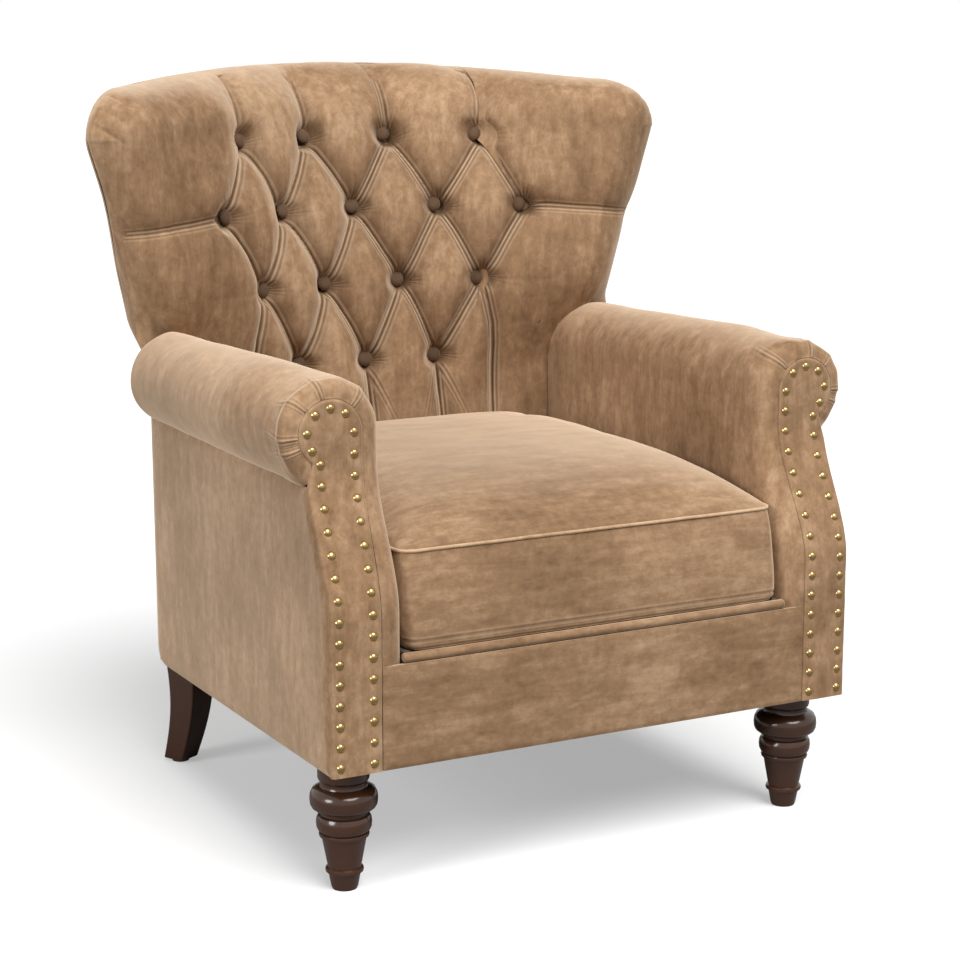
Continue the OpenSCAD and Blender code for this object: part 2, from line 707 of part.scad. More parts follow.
module seat_springs() {
    color(steel) for (i = [0:spring_count - 1]) zigzag_spring(spring_x(i));
}
module spring_clip(x, y) {
    z = spring_z - wire_d / 2 - seat_gap;
    top = spring_z + wire_d / 2 + seat_gap;
    difference() {
        box(x - clip_w / 2, x + clip_w / 2, y - clip_l / 2, y + clip_l / 2, z - clip_t, top + clip_t);
        box(x - clip_w, x + clip_w, y - clip_l / 2 + clip_t, y + clip_l, z, top);
    }
}
module spring_clips() {
    color(steel) for (i = [0:spring_count - 1]) {
        spring_clip(spring_x(i), spring_y0);
        translate([spring_x(i), spring_y1, 0]) rotate([0, 0, 180]) spring_clip(0, 0);
    }
}

// Webbing straps in front of the curved back rails, from the lower to the top one
strap_count = 5;
strap_w = 50;
strap_pitch = (2 * post_x - strap_w) / strap_count;
strap_zs = concat(
    [for (k = [-1, 1]) lower_rail_z + k * lower_rail_h / 2],
    [for (k = [1:3]) lower_rail_z + (middle_rail_z - lower_rail_z) * k / 4],
    [for (z = [middle_rail_z, button_top], k = [-1, 1]) z + k * back_rail_h / 2]
);
module back_webbing() {
    color(velvet_dark) for (i = [0:strap_count - 1]) {
        x_at = function (c) (i - (strap_count - 1) / 2) * strap_pitch + strap_w * (c - 1) / 2;
        sheet(2, len(strap_zs) - 1, 1,
            function (c, r) [x_at(c), layer(x_at(c), strap_zs[r]) - strap_t - 2 * seat_gap, strap_zs[r]],
            function (c, r) [x_at(c), layer(x_at(c), strap_zs[r]) - 2 * seat_gap, strap_zs[r]]);
    }
}

// Deck: a padded platform over the springs, with a rolled lip along its front edge
deck_low = spring_z + wire_d / 2 + clip_t + seat_gap * 2;
lip_r = 6;
lip_back = lip_r * 2;
module deck_pad() {
    y1 = front_y + back_foot - seat_gap;
    y0 = front_y + lip_back + seat_gap;
    color(velvet_dark) box(-deck_x, deck_x, y0, y1, deck_low, deck_h - seat_gap);
}
module deck_lip() {
    y = front_y + lip_r;
    color(velvet) translate([0, y, deck_h - seat_gap - lip_r]) rotate([0, 90, 0])
        translate([0, 0, -deck_x]) cylinder(r = lip_r, h = 2 * deck_x);
}

dust_cloth_t = 1.2;
module dust_cover() {
    hem = rail_t / 2;
    color(cambric) difference() {
        box(-side_rail_x - hem, side_rail_x + hem, front_y + panel_t + hem, front_y + rear_rail_d + hem,
            leg_h - seat_gap - dust_cloth_t, leg_h - seat_gap);
        both_sides() for (p = [[front_leg_x, front_leg_y], [rear_leg_x, rear_leg_y]])
            translate([p[0], p[1], 0]) cylinder(d = plate_d + 2 * soft_gap, h = overall_h);
    }
}

module front_border() {
    x = facing_in_x - seat_gap;
    color(velvet) box(-x, x, front_y, front_y + panel_t, leg_h, deck_h - 2 * lip_r - seat_gap * 2);
}

// Outside arm panels: flat, under the roll, with a round lower rear corner
outside_corner_r = 26;
module outside_arm() {
    top = axis_z(1) - sqrt(roll_rear_r * roll_rear_r - roll_in * roll_in) - seat_gap;
    top_front = axis_z(0) - sqrt(roll_r * roll_r - roll_in * roll_in) - seat_gap;
    zs = [for (z = sweep_zs) if (z < top_front) z];
    rear = front_y + corner_d - panel_t - 2 * seat_gap;
    c = outside_corner_r;
    translate([half_body, 0, 0]) rotate([90, 0, -90]) linear_extrude(height = panel_t)
        mirror([1, 0]) polygon(concat(
            [[front_y + facing_t + seat_gap, leg_h]],
            [for (z = zs) [sweep_y(z) + facing_t + seat_gap, z]],
            [[sweep_y(top_front) + facing_t + seat_gap, top_front], [rear, top], [rear, leg_h + c]],
            [for (a = [0:15:90]) [rear - c + c * cos(a), leg_h + c - c * sin(a)]]
        ));
}
module right_outside_arm() { color(velvet) outside_arm(); }
module left_outside_arm() { color(velvet) mirror([1, 0, 0]) outside_arm(); }

// Covered buttons, each a dome that sits in its pit and faces along the lean of the back
dome_share = 0.62;
lift_shares = [0.267, 0.257, 0.249, 0.252];
wing_lift_share = 0.322;
module covered_button() {
    rotate([90, 0, 0]) rotate_extrude() polygon([
        [0, 0], [button_d / 2 * 0.8, 0], [button_d / 2, button_t * 0.3],
        [button_d / 2 * 0.86, button_t * dome_share], [button_d / 2 * 0.5, button_t * 0.9], [0, button_t]
    ]);
}
last_q = [3, 4, 3, 2];
function lean_at(x, z) = atan((crest(x, z + button_d) - crest(x, z - button_d)) / (2 * button_d));
function turn_at(x, z) = atan((crest(x + button_d, z) - crest(x - button_d, z)) / (2 * button_d));
module tuft_buttons() {
    color(velvet_dark) for (n = [0:button_rows], q = [-last_q[n]:2:last_q[n]]) {
        z = row_z(n);
        x = column_x(q, z);
        lift = tuft_depth * (abs(q) == tuft_q ? wing_lift_share : lift_shares[n]);
        translate([x, front_y + plain_front(x, z) + tuft_depth - lift, z])
            rotate([-lean_at(x, z), 0, turn_at(x, z)]) covered_button();
    }
}

// Nail heads along the edges of the arm facings
nail_seat = seat_gap;
function sweep_slope(z) = atan((sweep_y(z + nail_d) - sweep_y(z - nail_d)) / (2 * nail_d));
module nail(x, z) {
    translate([x, sweep_y(z) - nail_seat, z]) rotate([90 - sweep_slope(z), 0, 0])
        rotate_extrude($fn = 20) polygon([
            [0, 0], [nail_d / 2, 0], [nail_d / 2 * 0.8, nail_h * 0.55],
            [nail_d / 2 * 0.45, nail_h * 0.88], [0, nail_h - nail_seat]
        ]);
}
nail_low = leg_h + nail_in;
nail_head_r = head_r - nail_in;
function outer_nail_x(z) = half_body - nail_in - neck_cut_w * rise(sweep_lo, sweep_hi, z);
function inner_nail_x(z) = facing_in_x + nail_in
    + (axis_x - head_r - facing_in_x) * rise(sweep_lo, sweep_hi, z);
module nail_heads() {
    arc_end = asin((half_body - nail_in - neck_cut_w - axis_x) / nail_head_r) + 90;
    inner_n = floor((roll_h - nail_low) / nail_pitch);
    outer_top = roll_h - nail_head_r * sin(arc_end - 90) - nail_pitch * 0.7;
    outer_n = floor((outer_top - nail_low) / nail_pitch);
    for (i = [0:inner_n]) {
        z = roll_h - (roll_h - nail_low) * i / inner_n;
        nail(inner_nail_x(z), z);
    }
    for (i = [0:outer_n]) {
        z = nail_low + (outer_top - nail_low) * i / outer_n;
        nail(outer_nail_x(z), z);
    }
    for (a = [130, 90, 50, 0, -45])
        nail(axis_x + nail_head_r * cos(a), roll_h + nail_head_r * sin(a));
}
module right_nail_heads() { color(brass) nail_heads(); }
module left_nail_heads() { color(brass) mirror([1, 0, 0]) nail_heads(); }

// Legs. The front ones are turned, with a bore for the hanger bolt in the top.
front_leg_in = 45;
front_leg_back = 67;
front_leg_x = half_body - front_leg_in;
front_leg_y = front_y + front_leg_back;
glide_h = 4;
bolt_d = 8;
bolt_in = 40;
plate_t = 3;
plate_d = 48;
leg_top = leg_h - plate_t;
ring_r = front_ring_d / 2;
foot_r = front_foot_d / 2;
module turned_leg() {
    h = leg_top - glide_h;
    rotate_extrude() difference() {
        polygon([
            [0, glide_h], [foot_r * 0.93, glide_h], [foot_r, glide_h + h * 0.02],
            [foot_r * 1.24, glide_h + h * 0.135], [foot_r * 1.42, glide_h + h * 0.145],
            [foot_r * 1.42, glide_h + h * 0.175], [foot_r * 1.27, glide_h + h * 0.19],
            [foot_r * 1.70, glide_h + h * 0.43], [foot_r * 1.80, glide_h + h * 0.46],
            [ring_r * 0.76, glide_h + h * 0.50], [ring_r * 0.81, glide_h + h * 0.545],
            [ring_r * 0.76, glide_h + h * 0.59], [ring_r * 0.70, glide_h + h * 0.62],
            [ring_r * 0.70, glide_h + h * 0.64], [ring_r * 0.92, glide_h + h * 0.665],
            [ring_r, glide_h + h * 0.72], [ring_r, glide_h + h * 0.76],
            [ring_r * 0.92, glide_h + h * 0.81], [ring_r * 0.72, glide_h + h * 0.835],
            [ring_r * 0.68, glide_h + h * 0.87], [ring_r * 0.76, glide_h + h * 0.90],
            [ring_r * 0.76, glide_h + h], [0, glide_h + h]
        ]);
        translate([0, leg_top - bolt_in]) square([bolt_d / 2 + seat_gap / 10, bolt_in + overrun]);
    }
}
module right_front_leg() { color(walnut) translate([front_leg_x, front_leg_y, 0]) turned_leg(); }
module left_front_leg() { color(walnut) translate([-front_leg_x, front_leg_y, 0]) turned_leg(); }

// The rear legs are square, tapered and splayed, with a slight curve
rear_leg_in = 58;
rear_leg_back = 22;
rear_leg_x = half_body - rear_leg_in;
rear_leg_y = front_y + corner_d + rear_leg_back;
leg_rings = 6;
module rear_leg() {
    difference() {
        translate([rear_leg_x, rear_leg_y, 0]) rotate([0, 0, -rear_turn])
            sheet(1, leg_rings, 1,
                function (c, r) leg_corner(c, 0, r / leg_rings),
                function (c, r) leg_corner(c, 1, r / leg_rings));
        translate([rear_leg_x, rear_leg_y, leg_top - bolt_in])
            cylinder(d = bolt_d + seat_gap / 5, h = bolt_in + overrun);
    }
}
// The leg leans along its own +y, most near the foot
function leg_corner(c, b, t) =
    let (
        w = rear_foot_w + (rear_top_w - rear_foot_w) * t,
        lean = rear_splay_d * pow(1 - t, 1.3)
    )
    [w * (c - 0.5), w * (b - 0.5) + lean, glide_h + (leg_top - glide_h) * t];
module right_rear_leg() { color(walnut) rear_leg(); }
module left_rear_leg() { color(walnut) mirror([1, 0, 0]) rear_leg(); }

module leg_plates() {
    color(steel) both_sides() for (p = [[front_leg_x, front_leg_y], [rear_leg_x, rear_leg_y]])
        translate([p[0], p[1], leg_top]) difference() {
            cylinder(d = plate_d, h = plate_t - seat_gap);
            translate([0, 0, -overrun]) cylinder(d = bolt_d + seat_gap / 5, h = plate_t + 2 * overrun);
        }
}
module hanger_bolts() {
    color(steel) both_sides() for (p = [[front_leg_x, front_leg_y], [rear_leg_x, rear_leg_y]])
        translate([p[0], p[1], leg_top - bolt_in + seat_gap])
            cylinder(d = bolt_d, h = bolt_in + plate_t - 2 * seat_gap);
}
glide_d = 24;
module leg_glides() {
    rear_foot = [rear_leg_x + rear_splay_d * sin(rear_turn), rear_leg_y + rear_splay_d * cos(rear_turn)];
    color(cambric) both_sides() for (p = [[front_leg_x, front_leg_y], rear_foot])
        translate([p[0], p[1], 0]) cylinder(d = glide_d, h = glide_h);
}

// Loose seat cushion
cushion_front = front_y + cushion_set;
cushion_mid_y = cushion_front + cushion_d / 2;
cushion_z = deck_h;
corner_steps = 3;
edge_steps = 5;
// Loop of a rounded rectangle, counter-clockwise from above, at height z. The front leans by lean.
function cushion_loop(inset, lean, z, scale) =
    let (
        hw = cushion_w / 2 - inset,
        y0 = -cushion_d / 2 + inset + lean,
        y1 = cushion_d / 2 - inset,
        r = cushion_corner_r,
        mid = (y0 + y1) / 2,
        corners = [
            [hw - r, y0 + r, -90], [hw - r, y1 - r, 0],
            [r - hw, y1 - r, 90], [r - hw, y0 + r, 180]
        ],
        outline = [for (k = [0:3]) let (c = corners[k], n = corners[(k + 1) % 4])
            each concat(
                [for (i = [0:corner_steps]) let (a = c[2] + 90 * i / corner_steps)
                    [c[0] + r * cos(a), c[1] + r * sin(a)]],
                [for (i = [1:edge_steps - 1])
                    let (
                        a = c[2] + 90,
                        s = i / edge_steps,
                        from = [c[0] + r * cos(a), c[1] + r * sin(a)],
                        to = [n[0] + r * cos(a), n[1] + r * sin(a)]
                    )
                    from + (to - from) * s])]
    )
    [for (p = outline) [p[0] * scale, cushion_mid_y + mid + (p[1] - mid) * scale, z]];
crown_shares = [0.985, 0.95, 0.89, 0.8, 0.66, 0.5, 0.32, 0.14];
// The crown rises gently from the front seam and steeply from the other seams
function crown_at(s, y) =
    let (u = max(0, min(1, (y - cushion_front - cushion_slope_d) / (cushion_d - cushion_slope_d))))
    crown_h * sqrt(max(0, 1 - pow(s, 6))) * (1 - pow(1 - u, 3)) * (1 - pow(u, 6) / 5);
boxing_shares = [0, 0.15, 0.5, 0.85, 1];
draw_shares = [1, 0.3, 0, 0.3, 1];
module cushion_form(skin) {
    seam_inset = welt_d + skin;
    z0 = cushion_z + skin;
    z1 = cushion_z + boxing_h - skin;
    loops = concat(
        [cushion_loop(skin + welt_d * 3, 0, z0, 1)],
        [for (k = [0:len(boxing_shares) - 1])
            let (
                t = boxing_shares[k],
                inset = skin + welt_d * draw_shares[k],
                z = z0 + welt_d + (z1 - z0 - welt_d) * t
            )
            cushion_loop(inset, cushion_slope_d * t, z, 1)],
        [for (s = crown_shares)
            [for (p = cushion_loop(seam_inset, cushion_slope_d, z1, s)) p + [0, 0, crown_at(s, p[1])]]]
    );
    y_mid = cushion_mid_y + cushion_slope_d / 2;
    loop_stack(loops, [0, y_mid, z0], [0, y_mid, z1 + crown_at(0, y_mid)]);
}
module cushion_cover() {
    color(velvet) difference() {
        cushion_form(0);
        cushion_form(cover_t);
    }
}
module cushion_core() { color(foam) cushion_form(cover_t + seat_gap); }
module cushion_welt() {
    n = len(cushion_loop(0, 0, 0, 1));
    path = cushion_loop(-seat_gap, cushion_slope_d, cushion_z + boxing_h, 1);
    sides = 6;
    points = [for (i = [0:n - 1])
        let (
            a = path[(i + n - 1) % n],
            b = path[(i + 1) % n],
            d = (b - a) / norm(b - a),
            out = [d[1], -d[0], 0]
        )
        each [for (k = [0:sides - 1]) let (w = full_turn * k / sides)
            path[i] - out * welt_d / 2 + welt_d / 2 * (out * cos(w) + [0, 0, 1] * sin(w))]];
    color(velvet) polyhedron(points, [for (i = [0:n - 1], k = [0:sides - 1])
        let (j = (i + 1) % n, l = (k + 1) % sides)
        each [
            [i * sides + k, i * sides + l, j * sides + l],
            [i * sides + k, j * sides + l, j * sides + k]
        ]],
        convexity = 4);
}

// Zip in the rear boxing, with its slider at the left end of the tape
zip_y = cushion_mid_y + cushion_d / 2 + seat_gap;
zip_z = cushion_z + boxing_h / 2;
tape_t = 1.2;
slider_l = 12;
slider_w = 9;
slider_t = 2.5;
module zip_tape() {
    color(velvet_dark)
        box(-zip_l / 2, zip_l / 2, zip_y, zip_y + tape_t, zip_z - zip_w / 2, zip_z + zip_w / 2);
}
module zip_slider() {
    x = slider_l - zip_l / 2;
    y = zip_y + tape_t + seat_gap;
    x_half = slider_l / 2;
    z_half = slider_w / 2;
    pull_z = zip_z - slider_w * 2;
    color(brass) {
        box(x - x_half, x + x_half, y, y + slider_t, zip_z - z_half, zip_z + z_half);
        box(x - x_half / 2, x + x_half / 2, y + slider_t / 2, y + slider_t, pull_z, zip_z);
    }
}

front_seat_rail();
back_seat_rail();
left_seat_rail();
right_seat_rail();
corner_blocks();
left_arm_post();
right_arm_post();
left_arm_top_board();
right_arm_top_board();
left_tacking_rail();
right_tacking_rail();
left_back_post();
right_back_post();
back_top_rail();
back_middle_rail();
back_lower_rail();
left_wing_board();
right_wing_board();
seat_springs();
spring_clips();
back_webbing();
deck_pad();
deck_lip();
dust_cover();
inside_back_pad();
left_wing_pad();
right_wing_pad();
outside_back_panel();
left_arm_pad();
right_arm_pad();
left_outside_arm();
right_outside_arm();
left_arm_facing();
right_arm_facing();
front_border();
tuft_buttons();
left_nail_heads();
right_nail_heads();
left_front_leg();
right_front_leg();
left_rear_leg();
right_rear_leg();
leg_plates();
hanger_bolts();
leg_glides();
cushion_cover();
cushion_core();
cushion_welt();
zip_tape();
zip_slider();
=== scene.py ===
"""Velvet wing armchair: upholstery, trim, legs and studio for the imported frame."""
import json
import math

import bpy
import numpy as np
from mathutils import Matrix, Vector

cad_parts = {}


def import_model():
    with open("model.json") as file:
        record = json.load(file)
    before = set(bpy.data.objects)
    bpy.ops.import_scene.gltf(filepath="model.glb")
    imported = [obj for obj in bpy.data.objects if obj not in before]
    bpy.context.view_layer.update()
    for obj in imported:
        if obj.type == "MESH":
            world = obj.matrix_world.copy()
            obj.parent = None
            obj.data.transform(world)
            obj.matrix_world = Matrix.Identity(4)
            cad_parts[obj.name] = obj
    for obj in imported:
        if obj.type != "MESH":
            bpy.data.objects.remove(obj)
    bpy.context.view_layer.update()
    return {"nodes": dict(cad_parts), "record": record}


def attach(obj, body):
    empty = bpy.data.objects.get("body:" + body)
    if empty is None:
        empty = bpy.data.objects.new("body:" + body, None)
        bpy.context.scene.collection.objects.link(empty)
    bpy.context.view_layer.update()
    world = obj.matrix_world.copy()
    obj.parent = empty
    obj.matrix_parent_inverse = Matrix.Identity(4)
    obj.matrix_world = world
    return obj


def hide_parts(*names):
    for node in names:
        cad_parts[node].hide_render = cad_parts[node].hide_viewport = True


MM = 0.001

# Sizes of the chair in millimetres, the same as in the part's source
OVERALL_W, OVERALL_D, OVERALL_H, BODY_W = 880, 850, 975, 744
LEG_H, DECK_H = 165, 306
ROLL_R, ROLL_REAR_R, ROLL_H, ROLL_DROP, ROLL_IN = 70, 61, 568, 6, 31
SWEEP, SWEEP_LO, SWEEP_HI = 60, 350, 530
HEAD_R, FACING_W, NECK_CUT, FACING_T, CORE_R, PANEL_T = 42, 67, 6, 6, 38, 6
BACK_FOOT, BACK_LEAN, BACK_CURL = 618, 90, 85
BACK_DEPTH, BACK_BULGE = 80, 12
WING_R, WING_TOP, WING_FOOT, WING_LEAD, TOP_ARCH = 68, 890, 616, 30, 24
WING_LOW_D, WING_HIGH_D, CORNER_D, EDGE_STEP, EDGE_RETURN = 632, 570, 588, 60, 30
BUTTON_TOP, BUTTON_LOW, PITCH_TOP, PITCH_LOW = 873, 550, 128, 110
NAIL_D, NAIL_H, NAIL_IN, NAIL_PITCH = 11, 3, 11.5, 25
REAR_LEG_W, REAR_LEG_TOP_W, REAR_LEG_TURN = 34, 50, -27
FRONT_Y = NAIL_H - OVERALL_D / 2
HALF_BODY, HALF_WING = BODY_W / 2, OVERALL_W / 2
AXIS_X = HALF_BODY - ROLL_IN
FACING_IN_X = HALF_BODY - FACING_W
EDGE_T, RIM_GAP, GAP = 4, 0.8, 0.3
# Places of the legs in x and y, their heights, and the turns of the nails round a facing's head
FRONT_LEG, REAR_LEG, REAR_LEG_TOP = (327, -355), (323.99, 207.6), (314, 188)
LEG_TOP, GLIDE_H = 162, 4
HEAD_NAIL_TURNS = (130, 90, 50, 4, -38)
# Round lower corners of the outside panels, the deck lip, and small curves that only the scene has
LOW_CORNER, LIP_R, LIP_HALF, REAR_LEG_BOW, CORNER_EASE = 26, 6, 276, 6, 5


# Shared mathematics


def unit(v):
    """Holds values between 0 and 1."""
    return np.clip(v, 0, 1)


def rise(a, b, v):
    """Smooth step from 0 at a to 1 at b."""
    t = unit((np.asarray(v, float) - a) / (b - a))
    return t * t * (3 - 2 * t)


def bell(v, width):
    """A smooth hump of height 1 at 0."""
    return np.exp(-((v / width) ** 2))


def turned_share(v, flat):
    """0 up to the share that is flat, then the sine of a quarter turn that ends at 1."""
    return np.sin(np.radians(90 * unit((v - flat) / (1 - flat))))


def arc_height(r, beside):
    """Height of a circle of radius r over its middle, at a distance beside the middle."""
    return np.sqrt(np.maximum(0, r**2 - beside**2))


def crowded(w):
    """Shares from -1 to 1 that lie closer together at both ends, where a form turns."""
    return np.sin(np.pi / 2 * w) * 0.35 + w * 0.65


def from_edge(u, v, wide, high):
    """Distance in millimetres from the nearest edge of a panel of that size."""
    return np.minimum(np.minimum(u, 1 - u) * wide, np.minimum(v, 1 - v) * high)


def pushed(p, axis, amount):
    """Points moved along one axis."""
    q = p.copy()
    q[..., axis] += amount
    return q


def corner_value(i, j, k, seed):
    """A fixed pseudo-random value from -1 to 1 for each corner of a lattice."""
    n = i * 374761393 + j * 668265263 + k * 1440662683 + seed * 974634777
    n = n & 0xFFFFFFFF
    n = ((n ^ (n >> 13)) * 1274126177) & 0xFFFFFFFF
    n = n ^ (n >> 16)
    return (n & 0xFFFFFF) / float(0x7FFFFF) - 1


def ripple(points, size, seed=0):
    """Smooth noise from about -1 to 1 at points in millimetres, with lumps of that size."""
    p = np.asarray(points, float) / np.asarray(size, float)
    base = np.floor(p).astype(np.int64)
    t = p - base
    t = t * t * (3 - 2 * t)
    total = 0
    for dx in (0, 1):
        for dy in (0, 1):
            for dz in (0, 1):
                weight = (
                    np.where(dx, t[..., 0], 1 - t[..., 0])
                    * np.where(dy, t[..., 1], 1 - t[..., 1])
                    * np.where(dz, t[..., 2], 1 - t[..., 2])
                )
                total = total + weight * corner_value(
                    base[..., 0] + dx, base[..., 1] + dy, base[..., 2] + dz, seed
                )
    return total


def grid_normals(p):
    """Unit normals of a grid of points, along (rows) x (columns)."""
    along_rows = np.gradient(p, axis=0)
    along_cols = np.gradient(p, axis=1)
    n = np.cross(along_cols, along_rows)
    return n / np.maximum(np.linalg.norm(n, axis=-1, keepdims=True), 1e-9)


def share_grid(rows, cols):
    """Shares from 0 to 1 up the rows and along the columns of a grid."""
    v, u = np.meshgrid(np.linspace(0, 1, rows + 1), np.linspace(0, 1, cols + 1), indexing="ij")
    return v, u


def stacked(x, y, z):
    """One array of points from three arrays of coordinates."""
    x, y, z = np.broadcast_arrays(x, y, z)
    return np.stack([x, y, z], axis=-1).astype(float)


def line_distance(x, z, line):
    """Distance to a polyline, share along it and signed side (positive on its left)."""
    best = np.full(np.shape(x), 1e9)
    share = np.zeros(np.shape(x))
    side = np.zeros(np.shape(x))
    lengths = [math.dist(a, b) for a, b in zip(line, line[1:])]
    total, done = sum(lengths), 0.0
    for (ax, az), (bx, bz), length in zip(line, line[1:], lengths):
        dx, dz = (bx - ax) / length, (bz - az) / length
        t = np.clip((x - ax) * dx + (z - az) * dz, 0, length)
        ox, oz = x - ax - dx * t, z - az - dz * t
        d = np.hypot(ox, oz)
        near = d < best
        best = np.where(near, d, best)
        share = np.where(near, (done + t) / total, share)
        side = np.where(near, np.sign(dx * oz - dz * ox), side)
        done += length
    return best, share, side


# Mesh helpers


def deselect():
    for o in list(bpy.context.selected_objects):
        o.select_set(False)


def activate(obj):
    deselect()
    obj.select_set(True)
    bpy.context.view_layer.objects.active = obj


def apply_modifiers(obj):
    activate(obj)
    for m in list(obj.modifiers):
        bpy.ops.object.modifier_apply(modifier=m.name)


def freeze(obj):
    """Puts the object's place, turn and scale into its mesh."""
    activate(obj)
    bpy.ops.object.transform_apply(location=True, rotation=True, scale=True)


def outward(obj):
    """Makes all faces of a closed mesh point outwards."""
    activate(obj)
    bpy.ops.object.mode_set(mode="EDIT")
    bpy.ops.mesh.select_all(action="SELECT")
    bpy.ops.mesh.normals_make_consistent(inside=False)
    bpy.ops.object.mode_set(mode="OBJECT")


def smooth(obj, degrees):
    activate(obj)
    bpy.ops.object.shade_smooth_by_angle(angle=math.radians(degrees))


def get_points(obj):
    flat = np.empty(len(obj.data.vertices) * 3)
    obj.data.vertices.foreach_get("co", flat)
    return flat.reshape(-1, 3)


def set_points(obj, points):
    obj.data.vertices.foreach_set("co", np.ascontiguousarray(points, dtype=float).ravel())
    obj.data.update()


def add_attribute(obj, name, values):
    layer = obj.data.attributes.new(name, "FLOAT_VECTOR", "POINT")
    layer.data.foreach_set("vector", np.ascontiguousarray(values, dtype=np.float32).ravel())


def finished(obj, degrees):
    """Gives a closed mesh its outside and its smooth shading."""
    outward(obj)
    smooth(obj, degrees)
    return obj


def named(name):
    """The object that was just made, under its name."""
    obj = bpy.context.active_object
    obj.name = obj.data.name = name
    return obj


def duplicate(obj, name):
    """A copy of an object, with its own mesh."""
    twin = obj.copy()
    twin.data = obj.data.copy()
    twin.name = twin.data.name = name
    bpy.context.scene.collection.objects.link(twin)
    return twin


def placed_copies(first, places, name):
    """Copies of an object, each at its place in millimetres and with its turn, as one piece."""
    parts = []
    for place, turn in places:
        one = duplicate(first, name)
        one.rotation_euler = turn
        one.location = [c * MM for c in place]
        freeze(one)
        parts.append(one)
    bpy.data.objects.remove(first)
    return join(parts, name)


def upholstered(name, front, rear, pleats=None):
    """A closed soft shell: a grid is given thickness, then its two faces take the given points."""
    rows, cols = front.shape[0] - 1, front.shape[1] - 1
    bpy.ops.mesh.primitive_grid_add(x_subdivisions=cols, y_subdivisions=rows, size=1)
    obj = named(name)
    wall = obj.modifiers.new("wall", "SOLIDIFY")
    wall.thickness = 0.1
    wall.offset = -1
    apply_modifiers(obj)
    p = get_points(obj)
    col = np.rint((p[:, 0] + 0.5) * cols).astype(int)
    row = np.rint((p[:, 1] + 0.5) * rows).astype(int)
    is_front = np.abs(p[:, 2]) < 0.05
    placed = np.where(is_front[:, None], front[row, col], rear[row, col])
    set_points(obj, placed * MM)
    outward(obj)
    if pleats is not None:
        # Pleat values: line offset, line strength and the share of painted shade in the hollows, then the
        # gathers' phase and amount
        values = pleats[row, col] * is_front[:, None]
        values[:, 0] = np.where(is_front, values[:, 0], LINE_REACH)
        add_attribute(obj, "pleat", values[:, :3])
        add_attribute(obj, "gather", np.stack([values[:, 3], values[:, 4], 0 * values[:, 0]], -1))
    smooth(obj, 60)
    return obj


def mirrored(obj, name):
    """A mirrored copy across the middle of the chair, with its own mesh."""
    twin = duplicate(obj, name)
    twin.scale = (-1, 1, 1)
    freeze(twin)
    outward(twin)
    return twin


def join(parts, name):
    deselect()
    for o in parts:
        o.select_set(True)
    bpy.context.view_layer.objects.active = parts[0]
    bpy.ops.object.join()
    parts[0].name = parts[0].data.name = name
    return parts[0]


def dress(obj, material, body="chair", nodes=()):
    """Gives a finished piece its material and its body, and hides the frame nodes that it stands in for."""
    obj.data.materials.clear()
    obj.data.materials.append(material)
    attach(obj, body)
    if nodes:
        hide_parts(*nodes)
    return obj


# Form of the back


def share_up(z):
    """Share of the height between the legs and the crest."""
    return np.maximum(0, (z - LEG_H) / (OVERALL_H - LEG_H))


def crest_mid(z):
    """Depth of the plain front of the back in its middle at height z."""
    return BACK_FOOT + BACK_LEAN * share_up(z) + BACK_CURL * share_up(z) ** 5


def crest_wing(z):
    """Depth of the plain front of the wings at height z."""
    lo = BUTTON_LOW - (BUTTON_LOW - DECK_H) / 8
    hi = BUTTON_TOP - (BUTTON_TOP - BUTTON_LOW) * 0.53
    return WING_LOW_D + (WING_HIGH_D - WING_LOW_D) * rise(lo, hi, z)


def half_w(z):
    """Half of the width over the wings at height z."""
    t = unit((z - WING_FOOT + WING_LEAD) / (WING_TOP - WING_FOOT + WING_LEAD))
    short = (HALF_WING - HALF_BODY) * (1 - t**1.25)
    # The edge eases into the corner at the top
    ease = np.exp(-short / 8)
    return HALF_WING - np.sqrt(short**2 + CORNER_EASE**2 * ease) + CORNER_EASE * ease


def crest(x, z):
    """Depth of the plain front, bowed between its middle and the wings."""
    t = np.minimum(1, np.abs(x) / (half_w(z) - WING_R))
    bow = (t * t + np.sin(np.radians(90 * t)) ** 2) / 2
    return crest_mid(z) + (crest_wing(z) - crest_mid(z)) * bow


def edge_d(z):
    """Depth of the outer edge of the outside back at height z."""
    return (
        CORNER_D
        + EDGE_STEP * rise(ROLL_H, WING_FOOT + WING_R / 3, z)
        - EDGE_RETURN * rise(WING_FOOT + WING_R, WING_TOP - WING_R, z)
    )


def outside_mid(z):
    """Depth of the outside back in its middle at height z."""
    room = OVERALL_D - NAIL_H - crest_mid(OVERALL_H)
    t = share_up(z)
    bulge = BACK_BULGE * np.sin(np.pi * t)
    full = crest_mid(z) + BACK_DEPTH + bulge + (room - BACK_DEPTH) * t**8
    return np.minimum(OVERALL_D - NAIL_H, full)


def outside(x, z):
    """Depth of the outside back."""
    power = 4 - 2.2 * rise(WING_FOOT, BUTTON_TOP, z)
    t = np.minimum(1, np.abs(x) / half_w(z))
    return outside_mid(z) + (edge_d(z) - outside_mid(z)) * t**power


def top_edge(x):
    """Height of the arched top edge."""
    return OVERALL_H - TOP_ARCH * (np.minimum(np.abs(x), HALF_WING - WING_R) / (HALF_WING - WING_R)) ** 2


def rolled_front(x, z, left):
    """Depth of the plain front; left is 1 on the flat and 0 at the rim of the roll."""
    edge = outside(x, z) - PANEL_T - RIM_GAP - EDGE_T
    c = crest(x, z)
    return np.minimum(edge, c + (edge - c) * (1 - left))


# Tufting

# Rows are counted from the top, columns in half pitches from the middle
LAST_Q = [3, 4, 3, 2]
LAST_ROW = len(LAST_Q) - 1
ROW_EASE, COLUMN_EASE = 0.079, 0.003


